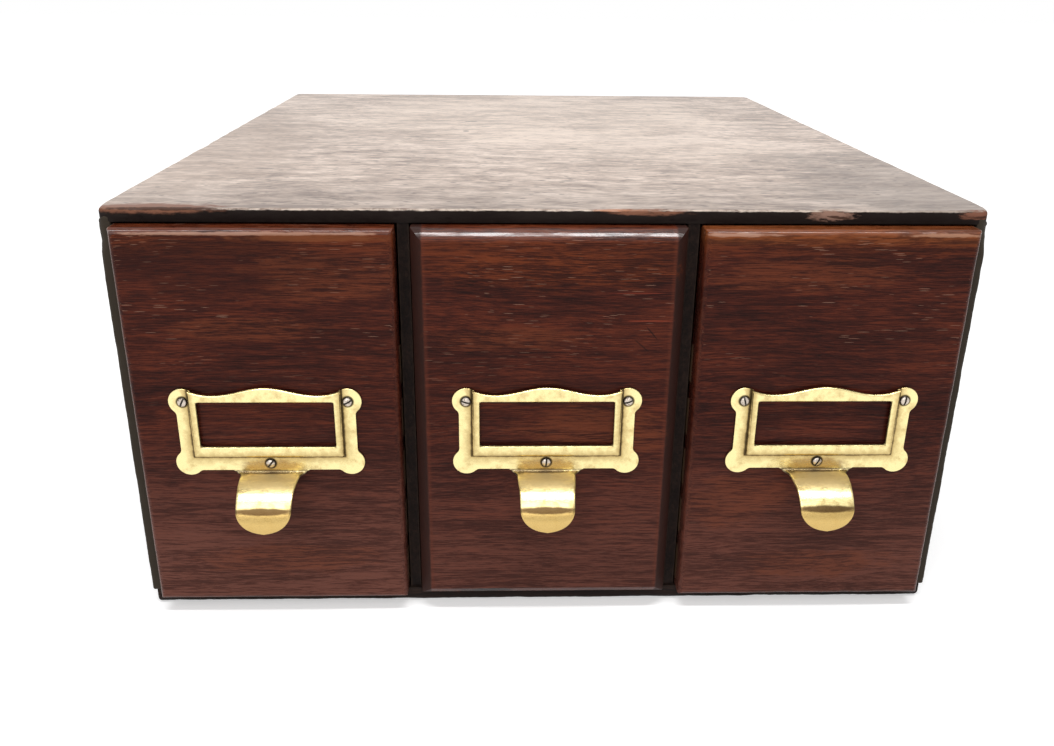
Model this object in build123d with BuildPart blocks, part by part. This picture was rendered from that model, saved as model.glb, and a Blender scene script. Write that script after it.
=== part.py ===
from build123d import *
import os

# A desk-top card file cabinet: a low wooden case with three deep card drawers side by side.
# Millimetres, +Z up. The origin is the centre of the case's underside, and the fronts face -Y.

os.makedirs("parts", exist_ok=True)

# Case
case_width = 380.0
case_depth = 449.0
case_height = 195.0
top_thickness = 6.0
top_corner_radius = 6.0
top_arris_width = 1.0
base_thickness = 7.5
base_inset = 2.0
base_end_radius = 5.0
side_thickness = 6.0
side_arris_radius = 2.0
divider_thickness = 5.0
divider_recess = 1.5
back_thickness = 6.0
back_rebate = 3.0

# Case joints: housings for the dividers, and a stopped tongue on top of each side
housing_depth = 2.5
tongue_thickness = 3.0
tongue_stop = 12.0
joint_fit = 0.05

# Drawers, from left to right; the middle front is bevelled, and its neighbours are rounded over
drawer_names = ("left", "middle", "right")
front_edge_sizes = (3.0, 5.2, 3.0)
drawer_side_gap = 0.8
drawer_run_gap = 0.3
drawer_top_gap = 0.6
drawer_stop_gap = 0.3
front_thickness = 18.0
front_proud = 9.0
box_side_thickness = 7.0
box_side_height = 130.0
box_back_thickness = 7.0
panel_thickness = 4.0
panel_rise = 3.0
panel_groove = 3.0
panel_fit = 0.1

# Lapped dovetails at the front corners and box fingers at the back corners
tail_count = 5
tail_length = 9.0
tail_slope = 1.4
tail_width_share = 0.70
finger_count = 9

# Brass label holder and finger pull, stamped from one sheet, measured from its window's centre
holder_rise = 2.55
sheet = 1.2
label_depth = 1.6
window_width = 60.0
window_height = 21.6
bezel_side_width = 3.4
bezel_foot_width = 5.1
bezel_top_width = 3.2
flange_width = 6.0
flange_foot_width = 7.0
lobe_radius = 6.2
lobe_inset = 3.3
lobe_foot_inset = 3.9
lobe_blend_radius = 2.5
lobe_hollow_radius = 24.0
crest_rise = 3.6
crest_half_width = 22.8
bezel_edge_bevel = 0.6
window_corner_radius = 1.0
shelf_drop = 1.0
shelf_length = 7.0
shelf_root_width = 35.0
shelf_neck_width = 26.6
shelf_neck_run = 5.5
shelf_shoulder_radius = 7.5
fold_radius = 0.8
curl_radius = 17.0
curl_taper_share = 0.75
lip_width = 24.4
lip_length = 1.3
lip_end_height = 10.3

# Fasteners: slotted round-head screws, and cut brads of one thickness, tapered in width
screw_facets = 12
screw_head_radius = 2.3
screw_head_height = 1.5
screw_head_bevel = 0.9
screw_shank_radius = 1.2
screw_length = 12.0
screw_slot_width = 0.6
screw_slot_depth = 0.7
screw_hole_gap = 0.3
nail_head_width = 2.6
nail_head_height = 0.8
nail_shank_width = 1.8
nail_thickness = 1.4
nail_length = 22.0
nail_sink = 2.5
nail_edge_distance = 1.7
pin_head_width = 2.0
pin_head_height = 0.6
pin_shank_width = 1.2
pin_thickness = 1.0
pin_length = 14.0
pin_sink = 0.3
brad_tip_share = 0.4
brad_fit = 0.1
nail_row_shares = (0.12, 0.5, 0.88)
pin_row_shares = (0.12, 0.5, 0.88)
box_pin_shares = (-0.3, 0.3)

# Follower block, which holds the cards upright and slides along a slot in the drawer's bottom
follower_height = 115.0
follower_foot = 52.0
follower_crown = 14.0
follower_lean = 30.0
follower_side_gap = 1.0
follower_back_gap = 2.0
follower_edge_radius = 2.0
follower_travel = 330.0
key_width = 6.0
key_length = 38.0
key_drop = 3.5
key_fit = 0.3

# One overrun serves every cut that starts outside its piece
overrun = 1.0

# Places in the case
front_y = -case_depth / 2
back_y = case_depth / 2
floor_z = base_thickness
ceiling_z = case_height - top_thickness
back_panel_y = back_y - back_thickness
inner_width = case_width - 2 * side_thickness
drawer_count = len(drawer_names)
bay_width = (inner_width - (drawer_count - 1) * divider_thickness) / drawer_count
bay_pitch = bay_width + divider_thickness
drawer_centres = [(index - (drawer_count - 1) / 2) * bay_pitch for index in range(drawer_count)]
divider_centres = [(index - (drawer_count - 2) / 2) * bay_pitch for index in range(drawer_count - 1)]
divider_front_y = front_y + divider_recess
side_seat_x = inner_width / 2 + nail_edge_distance
nail_columns = [-side_seat_x, *divider_centres, side_seat_x]
nail_rows = [front_y + share * case_depth for share in nail_row_shares]
rebate_x = inner_width / 2 + back_rebate / 2
pin_columns = [-rebate_x, *divider_centres, rebate_x]
pin_rows = [floor_z + share * (ceiling_z - floor_z) for share in pin_row_shares]
nail_sizes = (nail_head_width, nail_head_height, nail_shank_width, nail_length)
pin_sizes = (pin_head_width, pin_head_height, pin_shank_width, pin_length)

# Places in a drawer, along Y and Z
face_y = front_y - front_proud
shoulder_y = face_y + front_thickness
box_end_y = back_panel_y - drawer_stop_gap
box_back_y = box_end_y - box_back_thickness
runner_z = floor_z + drawer_run_gap
front_top_z = ceiling_z - drawer_top_gap
front_height = front_top_z - runner_z
front_width = bay_width - 2 * drawer_side_gap
box_inner_width = front_width - 2 * box_side_thickness
box_top_z = runner_z + box_side_height
panel_z = runner_z + panel_rise
panel_top_z = panel_z + panel_thickness
panel_width = box_inner_width + 2 * panel_groove
panel_front_y = shoulder_y - panel_groove
panel_length = box_end_y - panel_front_y
tail_pitch = box_side_height / tail_count
tail_centres = [runner_z + (index + 1 / 2) * tail_pitch for index in range(tail_count)]
finger_height = (box_top_z - panel_top_z) / finger_count
finger_centres = [panel_top_z + (index + 1 / 2) * finger_height for index in range(finger_count)]

# Places on the label holder, from its window's centre: right is +X, up is +Z, out is -Y
holder_z = runner_z + front_height / 2 + holder_rise
plate_half_width = window_width / 2 + bezel_side_width + flange_width
plate_top = window_height / 2 + bezel_top_width
bezel_foot = -window_height / 2 - bezel_foot_width
plate_foot = bezel_foot - flange_foot_width
bezel_half_width = window_width / 2 + bezel_side_width
lobe_x = plate_half_width - lobe_inset
lobe_points = [(side * lobe_x, height)
               for side in (-1, 1)
               for height in (plate_foot + lobe_foot_inset, plate_top - lobe_inset)]
screw_points = [(-lobe_x, plate_top - lobe_inset), (lobe_x, plate_top - lobe_inset),
                (0, (bezel_foot + plate_foot) / 2)]
bezel_depth = sheet + label_depth
shelf_z = plate_foot - shelf_drop
curl_start = sheet + shelf_length
taper_end = curl_start + curl_taper_share * curl_radius
tongue_reach = curl_start + curl_radius
lip_z = shelf_z - curl_radius - lip_length

# Places of the follower block at rest, against the drawer's back
follower_z = panel_top_z + key_fit
follower_back_y = box_back_y - follower_back_gap
follower_front_y = follower_back_y - follower_foot
follower_width = box_inner_width - 2 * follower_side_gap
key_y = follower_back_y - follower_foot / 2


def save(piece, label):
    """Label a finished piece and write it to its own file."""
    piece.part.label = label
    export_step(piece.part, f"parts/{label}.step")


def facing_front(x, y, z):
    """A plane through a point that looks towards the front, with X to the right and Z up."""
    return Plane(origin=(x, y, z), x_dir=(1, 0, 0), z_dir=(0, -1, 0))


def facing_down(x, y, z):
    """A plane through a point that looks down, with X to the right and Y towards the front."""
    return Plane(origin=(x, y, z), x_dir=(1, 0, 0), z_dir=(0, 0, -1))


def draw_brads(planes, sizes, grow=0, sink=0):
    """Cut brads in outline, one on each plane: heads at its origin, points along its Y."""
    head_width, head_height, shank_width, length = sizes
    half_head = head_width / 2 + grow
    half_shank = shank_width / 2 + grow
    half_tip = shank_width * brad_tip_share / 2 + grow
    with BuildSketch(*planes) as brads:
        with BuildLine():
            Polyline((0, -sink), (half_head, -sink), (half_head, head_height + grow),
                     (half_shank, head_height + grow), (half_tip, length + grow), (0, length + grow))
            mirror(about=Plane.YZ)
        make_face()
    return brads.sketch


def nail_planes(x):
    """The planes of one column of nails, which go up through the base board."""
    return [facing_front(x, y, nail_sink) for y in nail_rows]


def pin_planes(x):
    """The planes of one column of pins, which go forward through the back panel."""
    return [facing_down(x, back_y - pin_sink, z) for z in pin_rows]


def cut_nail_holes(x):
    """Cut the nail holes of one column into the open part."""
    extrude(draw_brads(nail_planes(x), nail_sizes, grow=brad_fit, sink=nail_sink + overrun),
            amount=nail_thickness / 2 + brad_fit, both=True, mode=Mode.SUBTRACT)


def cut_pin_holes(x):
    """Cut the pin holes of one column into the open part."""
    extrude(draw_brads(pin_planes(x), pin_sizes, grow=brad_fit, sink=pin_sink + overrun),
            amount=pin_thickness / 2 + brad_fit, both=True, mode=Mode.SUBTRACT)


# Top board: rounded corners, worn arris, and grooves below for the sides and dividers
with BuildPart() as top_board:
    with BuildSketch(Plane.XY.offset(ceiling_z)):
        Rectangle(case_width, case_depth)
    extrude(amount=top_thickness)
    fillet(top_board.edges().filter_by(Axis.Z), radius=top_corner_radius)
    chamfer(top_board.faces().sort_by(Axis.Z)[-1].edges(), length=top_arris_width)
    with BuildSketch(Plane.XY.offset(ceiling_z)):
        for centre in divider_centres:
            with Locations((centre, front_y - overrun)):
                Rectangle(divider_thickness + 2 * joint_fit, back_panel_y - front_y + overrun,
                          align=(Align.CENTER, Align.MIN))
        for side in (-1, 1):
            with Locations((side * (inner_width + tongue_thickness) / 2, front_y + tongue_stop)):
                Rectangle(tongue_thickness + 2 * joint_fit, case_depth - 2 * tongue_stop,
                          align=(Align.CENTER, Align.MIN))
    extrude(amount=housing_depth + joint_fit, mode=Mode.SUBTRACT)
save(top_board, "top_board")

# Base board: set in at the ends, where its lower arrises are rounded, and nailed from below
with BuildPart() as base_board:
    with BuildSketch():
        Rectangle(case_width - 2 * base_inset, case_depth)
    extrude(amount=base_thickness)
    fillet(base_board.edges().filter_by(Axis.Y).group_by(Axis.Z)[0], radius=base_end_radius)
    with BuildSketch(Plane.XY.offset(floor_z)):
        for centre in divider_centres:
            with Locations((centre, front_y - overrun)):
                Rectangle(divider_thickness + 2 * joint_fit, back_panel_y - front_y + overrun,
                          align=(Align.CENTER, Align.MIN))
    extrude(amount=-(housing_depth + joint_fit), mode=Mode.SUBTRACT)
    for column in nail_columns:
        cut_nail_holes(column)
save(base_board, "base_board")

# Sides: a tongue up into the top board, a rebate behind for the back panel, and nail holes
for label, side in (("left_side", -1), ("right_side", 1)):
    with BuildPart() as case_side:
        with BuildSketch(Plane.XY.offset(floor_z)):
            with Locations((side * (inner_width + side_thickness) / 2, 0)):
                Rectangle(side_thickness, case_depth)
        extrude(amount=ceiling_z - floor_z)
        front_edges = case_side.edges().filter_by(Axis.Z).group_by(Axis.Y)[0]
        fillet(front_edges.sort_by(Axis.X)[-1 if side > 0 else 0], radius=side_arris_radius)
        with BuildSketch(Plane.XY.offset(ceiling_z)):
            with Locations((side * (inner_width + tongue_thickness) / 2, front_y + tongue_stop)):
                Rectangle(tongue_thickness, case_depth - 2 * tongue_stop,
                          align=(Align.CENTER, Align.MIN))
        extrude(amount=housing_depth)
        with BuildSketch(Plane.XY.offset(floor_z)):
            with Locations((side * rebate_x, back_panel_y)):
                Rectangle(back_rebate, back_thickness + overrun, align=(Align.CENTER, Align.MIN))
        extrude(amount=ceiling_z - floor_z, mode=Mode.SUBTRACT)
        cut_nail_holes(side * side_seat_x)
        cut_pin_holes(side * rebate_x)
    save(case_side, label)

# Dividers: housed in the top and base boards, just behind the case's front edges
for label, centre in zip(("left_divider", "right_divider"), divider_centres):
    with BuildPart() as divider:
        with BuildSketch(Plane.XY.offset(floor_z - housing_depth)):
            with Locations((centre, divider_front_y)):
                Rectangle(divider_thickness, back_panel_y - divider_front_y,
                          align=(Align.CENTER, Align.MIN))
        extrude(amount=ceiling_z - floor_z + 2 * housing_depth)
        cut_nail_holes(centre)
        cut_pin_holes(centre)
    save(divider, label)

# Back panel: lies in the sides' rebates, pinned to the sides and dividers
with BuildPart() as back_panel:
    with BuildSketch(Plane.XY.offset(floor_z)):
        with Locations((0, back_panel_y)):
            Rectangle(inner_width + 2 * (back_rebate - joint_fit), back_thickness,
                      align=(Align.CENTER, Align.MIN))
    extrude(amount=ceiling_z - floor_z)
    for column in pin_columns:
        cut_pin_holes(column)
save(back_panel, "back_panel")


# Nails up through the base board, and pins forward through the back panel
with BuildPart() as base_nails:
    for column in nail_columns:
        extrude(draw_brads(nail_planes(column), nail_sizes), amount=nail_thickness / 2, both=True)
save(base_nails, "base_nails")

with BuildPart() as back_pins:
    for column in pin_columns:
        extrude(draw_brads(pin_planes(column), pin_sizes), amount=pin_thickness / 2, both=True)
save(back_pins, "back_pins")


def draw_tails(x, grow):
    """Dovetails between the line of the front's back face and its lap, drawn in the plane at x."""
    wide = tail_pitch * tail_width_share / 2 + grow
    narrow = wide - tail_slope
    with BuildSketch(Plane.YZ.offset(x)) as tails:
        for centre in tail_centres:
            with BuildLine():
                Polyline((shoulder_y, centre - narrow), (shoulder_y - tail_length - grow, centre - wide),
                         (shoulder_y - tail_length - grow, centre + wide), (shoulder_y, centre + narrow),
                         close=True)
            make_face()
    return tails.sketch


def draw_panel_groove(x):
    """The outline of the groove that takes the bottom panel of the drawer centred on x."""
    with BuildSketch(Plane.XY.offset(panel_z - panel_fit)) as groove:
        with Locations((x, panel_front_y - panel_fit)):
            Rectangle(panel_width + 2 * panel_fit, panel_length + 2 * panel_fit + overrun,
                      align=(Align.CENTER, Align.MIN))
    return groove.sketch


def draw_screws(x, y, radius):
    """The outlines of a label holder's three screws or their holes, on an upright plane at y."""
    with BuildSketch(*[facing_front(x + across, y, holder_z + up) for across, up in screw_points]) as rounds:
        RegularPolygon(radius, screw_facets)
    return rounds.sketch


def box_pin_planes(x):
    """The planes of the pins that go up through a drawer's bottom into its back."""
    return [facing_front(x + share * box_inner_width, box_end_y - box_back_thickness / 2, panel_z + pin_sink)
            for share in box_pin_shares]


def cut_box_pin_holes(x):
    """Cut the holes for a drawer's pins into the open part."""
    extrude(draw_brads(box_pin_planes(x), pin_sizes, grow=brad_fit, sink=pin_sink + overrun),
            amount=pin_thickness / 2 + brad_fit, both=True, mode=Mode.SUBTRACT)


def build_front(x, shape_edges, edge_size):
    """The drawer front: bevelled or rounded over at the face, with dovetail sockets in its ends."""
    with BuildPart() as front:
        with BuildSketch(facing_front(x, shoulder_y, runner_z + front_height / 2)):
            Rectangle(front_width, front_height)
        extrude(amount=front_thickness)
        shape_edges(front.faces().sort_by(Axis.Y)[0].edges(), edge_size)
        for side in (-1, 1):
            extrude(draw_tails(x + side * front_width / 2, joint_fit),
                    amount=-side * box_side_thickness, mode=Mode.SUBTRACT)
        extrude(draw_panel_groove(x), amount=panel_thickness + 2 * panel_fit, mode=Mode.SUBTRACT)
        extrude(draw_screws(x, face_y, screw_shank_radius + brad_fit),
                amount=-(screw_length - sheet + brad_fit), mode=Mode.SUBTRACT)
    return front


def build_box_side(x, side):
    """A drawer side: dovetails at the front, notches for the back's fingers behind."""
    outer_x = x + side * front_width / 2
    with BuildPart() as box_side:
        with BuildSketch(Plane.YZ.offset(outer_x)):
            with Locations((shoulder_y, runner_z)):
                Rectangle(box_end_y - shoulder_y, box_side_height, align=(Align.MIN, Align.MIN))
        extrude(amount=-side * box_side_thickness)
        extrude(draw_tails(outer_x, 0), amount=-side * box_side_thickness)
        extrude(draw_panel_groove(x), amount=panel_thickness + 2 * panel_fit, mode=Mode.SUBTRACT)
        with BuildSketch(Plane.YZ.offset(outer_x)):
            for centre in finger_centres[::2]:
                with Locations((box_end_y + overrun, centre)):
                    Rectangle(box_back_thickness + joint_fit + overrun, finger_height + 2 * joint_fit,
                              align=(Align.MAX, Align.CENTER))
        extrude(amount=-side * box_side_thickness, mode=Mode.SUBTRACT)
    return box_side


def build_box_back(x):
    """The drawer back: stands on the bottom panel, with fingers through the sides."""
    with BuildPart() as box_back:
        with BuildSketch(facing_front(x, box_end_y, panel_top_z)):
            Rectangle(front_width, box_top_z - panel_top_z, align=(Align.CENTER, Align.MIN))
        extrude(amount=box_back_thickness)
        with BuildSketch(facing_front(x, box_end_y, 0)):
            for centre in finger_centres[1::2]:
                for side in (-1, 1):
                    with Locations((side * (front_width + overrun) / 2, centre)):
                        Rectangle(2 * box_side_thickness + 2 * joint_fit + overrun,
                                  finger_height + 2 * joint_fit)
        extrude(amount=box_back_thickness, mode=Mode.SUBTRACT)
        cut_box_pin_holes(x)
    return box_back


def build_bottom_panel(x):
    """The drawer bottom: in grooves on three sides, slotted down the middle for the follower."""
    slot_length = key_length + follower_travel + 2 * key_fit
    with BuildPart() as bottom_panel:
        with BuildSketch(Plane.XY.offset(panel_z)):
            with Locations((x, panel_front_y)):
                Rectangle(panel_width, panel_length, align=(Align.CENTER, Align.MIN))
            with Locations((x, key_y + key_length / 2 + key_fit)):
                Rectangle(key_width + 2 * key_fit, slot_length, align=(Align.CENTER, Align.MAX),
                          mode=Mode.SUBTRACT)
        extrude(amount=panel_thickness)
        cut_box_pin_holes(x)
    return bottom_panel


def build_box_pins(x):
    """The pins that hold the bottom panel up to the drawer's back."""
    with BuildPart() as box_pins:
        extrude(draw_brads(box_pin_planes(x), pin_sizes), amount=pin_thickness / 2, both=True)
    return box_pins


def draw_crest():
    """The low crest on the label holder's top edge: two arcs a side that blend into it."""
    with BuildSketch() as crest:
        with BuildLine():
            inflection = (crest_half_width / 2, plate_top + crest_rise / 2)
            hollow = TangentArc((crest_half_width, plate_top), inflection, tangent=(-1, 0))
            TangentArc(inflection, (0, plate_top + crest_rise), tangent=hollow % 1)
            mirror(about=Plane.YZ)
            Line((-crest_half_width, plate_top), (crest_half_width, plate_top))
        make_face()
    return crest.sketch


def draw_plate():
    """The label holder's outline: a rectangle with four lobes blended in, and a low crest."""
    with BuildSketch() as plate:
        with Locations((0, plate_foot)):
            Rectangle(2 * plate_half_width, plate_top - plate_foot, align=(Align.CENTER, Align.MIN))
        with Locations(*lobe_points):
            Circle(lobe_radius)
        fillet(plate.vertices().filter_by_position(Axis.Y, plate_foot - joint_fit, plate_top - joint_fit),
               radius=lobe_blend_radius)
        fillet(plate.vertices().filter_by_position(Axis.Y, plate_top - joint_fit, plate_top + joint_fit),
               radius=lobe_hollow_radius)
        add(draw_crest())
    return plate.sketch


def build_label_holder(x):
    """The stamped brass label holder, with the finger pull curled out of its foot."""
    face = facing_front(x, face_y, holder_z)
    with BuildPart() as label_holder:
        # The tongue as a bent strip: the fold, a level shelf, a quarter curl and an upright lip
        with BuildSketch(Plane.YZ.offset(x - shelf_root_width / 2)):
            with BuildLine():
                root = holder_z + shelf_z
                fold_centre = (face_y - sheet - fold_radius, root + fold_radius)
                curl_centre = (face_y - curl_start, root - curl_radius)
                Line((face_y, root + fold_radius), (face_y - sheet, root + fold_radius))
                CenterArc(fold_centre, fold_radius, 270, 90)
                Line((face_y - sheet - fold_radius, root), (face_y - curl_start, root))
                CenterArc(curl_centre, curl_radius, 90, 90)
                Polyline((face_y - tongue_reach, root - curl_radius),
                         (face_y - tongue_reach, holder_z + lip_z),
                         (face_y - tongue_reach + sheet, holder_z + lip_z),
                         (face_y - tongue_reach + sheet, root - curl_radius))
                CenterArc(curl_centre, curl_radius - sheet, 90, 90)
                Line((face_y - curl_start, root - sheet), (face_y - sheet - fold_radius, root - sheet))
                CenterArc(fold_centre, fold_radius + sheet, 270, 90)
            make_face()
        extrude(amount=shelf_root_width)
        # Its plan: concave shoulders down to the neck, then a slight taper to the lip
        with BuildSketch(Plane.XY.offset(holder_z + lip_z - overrun)):
            for side in (-1, 1):
                with BuildLine():
                    root_corner = (x + side * shelf_root_width / 2, face_y - sheet)
                    neck_corner = (x + side * shelf_neck_width / 2, face_y - sheet - shelf_neck_run)
                    lip_edge = x + side * lip_width / 2
                    Polyline((x, face_y - tongue_reach - overrun), (x, face_y),
                             (x + side * shelf_root_width / 2, face_y), root_corner)
                    RadiusArc(root_corner, neck_corner, -side * shelf_shoulder_radius)
                    Polyline(neck_corner, (lip_edge, face_y - taper_end),
                             (lip_edge, face_y - tongue_reach - overrun),
                             (x, face_y - tongue_reach - overrun))
                make_face()
        extrude(amount=shelf_z - lip_z + 2 * overrun, mode=Mode.INTERSECT)
        # Its front outline: the lip ends in a half ellipse
        with BuildSketch(face):
            with Locations((0, lip_z + lip_end_height)):
                Ellipse(lip_width / 2, lip_end_height)
                Rectangle(shelf_root_width, shelf_z - lip_z, align=(Align.CENTER, Align.MIN))
        extrude(amount=tongue_reach + overrun, mode=Mode.INTERSECT)
        # The flange, with the tongue's root below it
        with BuildSketch(face):
            add(draw_plate())
            with Locations((0, plate_foot)):
                Rectangle(shelf_root_width, shelf_drop - fold_radius, align=(Align.CENTER, Align.MAX))
        extrude(amount=sheet)
        # The bezel stands out from the flange, and the label slides in behind it from above
        with BuildSketch(face):
            add(draw_plate())
            with Locations((0, bezel_foot)):
                Rectangle(2 * bezel_half_width, plate_top + lobe_radius - bezel_foot,
                          align=(Align.CENTER, Align.MIN), mode=Mode.INTERSECT)
        extrude(amount=bezel_depth)
        bezel_face = label_holder.faces().filter_by_position(Axis.Y, face_y - bezel_depth - joint_fit,
                                                             face_y - bezel_depth + joint_fit)
        chamfer(bezel_face.edges(), length=bezel_edge_bevel)
        with BuildSketch(face):
            with Locations((0, bezel_foot + sheet)):
                Rectangle(2 * (bezel_half_width - sheet), plate_top + lobe_radius - bezel_foot,
                          align=(Align.CENTER, Align.MIN))
        extrude(amount=label_depth, mode=Mode.SUBTRACT)
        with BuildSketch(face):
            RectangleRounded(window_width, window_height, window_corner_radius)
        extrude(amount=bezel_depth + overrun, mode=Mode.SUBTRACT)
        extrude(draw_screws(x, face_y, screw_shank_radius + screw_hole_gap), amount=sheet,
                mode=Mode.SUBTRACT)
    return label_holder


def build_holder_screws(x):
    """Three slotted round-head screws that hold the label holder."""
    seat_y = face_y - sheet
    with BuildPart() as holder_screws:
        extrude(draw_screws(x, seat_y, screw_head_radius), amount=screw_head_height)
        chamfer(holder_screws.faces().group_by(Axis.Y)[0].edges(), length=screw_head_bevel)
        extrude(draw_screws(x, seat_y, screw_shank_radius), amount=-screw_length)
        with Locations(*[facing_front(x + across, seat_y - screw_head_height + screw_slot_depth,
                                      holder_z + up) for across, up in screw_points]):
            Box(screw_slot_width, 2 * screw_head_radius, screw_head_height, rotation=(0, 0, -45),
                align=(Align.CENTER, Align.CENTER, Align.MIN), mode=Mode.SUBTRACT)
    return holder_screws


def build_follower(x):
    """The follower: a leaning wooden block with a key that runs in the bottom's slot."""
    with BuildPart() as follower:
        with BuildSketch(Plane.YZ.offset(x - follower_width / 2)):
            with BuildLine():
                Polyline((follower_front_y, follower_z), (follower_back_y, follower_z),
                         (follower_front_y + follower_lean + follower_crown, follower_z + follower_height),
                         (follower_front_y + follower_lean, follower_z + follower_height), close=True)
            make_face()
        extrude(amount=follower_width)
        fillet(follower.faces().sort_by(Axis.Z)[-1].edges(), radius=follower_edge_radius)
        with BuildSketch(Plane.XY.offset(follower_z)):
            with Locations((x, key_y)):
                Rectangle(key_width, key_length)
        extrude(amount=-(key_drop + key_fit))
    return follower


# The three drawers are alike, each with its own follower
for drawer_name, drawer_x, shape_edges, edge_size in zip(drawer_names, drawer_centres,
                                                         (fillet, chamfer, fillet), front_edge_sizes):
    save(build_front(drawer_x, shape_edges, edge_size), f"{drawer_name}_drawer_front")
    save(build_box_side(drawer_x, -1), f"{drawer_name}_drawer_left_side")
    save(build_box_side(drawer_x, 1), f"{drawer_name}_drawer_right_side")
    save(build_box_back(drawer_x), f"{drawer_name}_drawer_back")
    save(build_bottom_panel(drawer_x), f"{drawer_name}_drawer_bottom")
    save(build_box_pins(drawer_x), f"{drawer_name}_drawer_bottom_pins")
    save(build_label_holder(drawer_x), f"{drawer_name}_label_holder")
    save(build_holder_screws(drawer_x), f"{drawer_name}_label_holder_screws")
    save(build_follower(drawer_x), f"{drawer_name}_card_follower")
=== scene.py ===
"""Dresses the card file cabinet: worn boards, varnished drawer fronts and brass label holders."""

import logging
import math
from dataclasses import dataclass, replace
from enum import Enum

import bmesh
import bpy
import numpy as np
from mathutils import Matrix, Vector, noise
from mathutils.geometry import tessellate_polygon


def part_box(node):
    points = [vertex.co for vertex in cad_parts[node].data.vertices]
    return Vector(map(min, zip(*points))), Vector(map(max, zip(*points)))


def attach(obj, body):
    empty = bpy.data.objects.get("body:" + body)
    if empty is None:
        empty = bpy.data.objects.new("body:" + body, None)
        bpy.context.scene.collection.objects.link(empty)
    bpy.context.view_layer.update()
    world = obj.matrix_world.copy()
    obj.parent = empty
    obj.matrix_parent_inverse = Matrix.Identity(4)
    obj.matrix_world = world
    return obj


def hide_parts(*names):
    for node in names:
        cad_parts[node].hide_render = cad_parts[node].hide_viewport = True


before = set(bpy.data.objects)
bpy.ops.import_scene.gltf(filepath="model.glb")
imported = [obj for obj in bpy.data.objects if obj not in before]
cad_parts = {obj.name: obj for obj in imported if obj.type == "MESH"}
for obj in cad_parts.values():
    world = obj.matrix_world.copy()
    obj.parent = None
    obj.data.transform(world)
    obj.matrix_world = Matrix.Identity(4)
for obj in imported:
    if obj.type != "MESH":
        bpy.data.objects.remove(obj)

log = logging.getLogger("card_file_cabinet")

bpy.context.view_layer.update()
MM = 0.001
RIGHT_ANGLE = math.pi / 2

# The places that wear and varnish are measured from, in millimetres.
CASE_TOP = 195.0
CASE_FRONT = -224.5
CASE_SIDE = 190.0
DRAWER_PITCH = 124.33
FRONT_FACE = -233.5
FRONT_TOP = 188.4
FRONT_HALF_WIDTH = 58.87

Colour = tuple[float, float, float]
Point = tuple[float, float, float]
Spot = tuple[float, float]
Span = tuple[float, float]


class Grain(Enum):
    """The direction that a board's grain runs in, as the turn that lays it along X."""

    ACROSS = (0.0, 0.0, 0.0)
    DEEP = (0.0, 0.0, -RIGHT_ANGLE)


class Bay(Enum):
    """The cabinet's three drawers, from left to right, as their nodes' names begin."""

    LEFT = "left"
    MIDDLE = "middle"
    RIGHT = "right"


class Facing(Enum):
    """The way that a board's good face looks: its axis and the sign along it."""

    UP = (2, 1)
    DOWN = (2, -1)
    FRONT = (1, -1)
    LEFT = (0, -1)
    RIGHT = (0, 1)


class Axis(Enum):
    """An axis of the cabinet's frame, as the vector that picks it out."""

    X = (1.0, 0.0, 0.0)
    Y = (0.0, 1.0, 0.0)
    Z = (0.0, 0.0, 1.0)


def rgba(colour: Colour) -> tuple[float, float, float, float]:
    """Returns the colour with full alpha."""
    return (*colour, 1.0)


def smooth(value: float) -> float:
    """Returns value clamped to 0 to 1 and eased at both ends."""
    value = min(max(value, 0.0), 1.0)
    return value * value * (3 - 2 * value)


def number_of(name: str) -> int:
    """Returns a number that is always the same for a name, to tell boards and screws apart."""
    return sum(map(ord, name))


# Shader nodes

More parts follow.
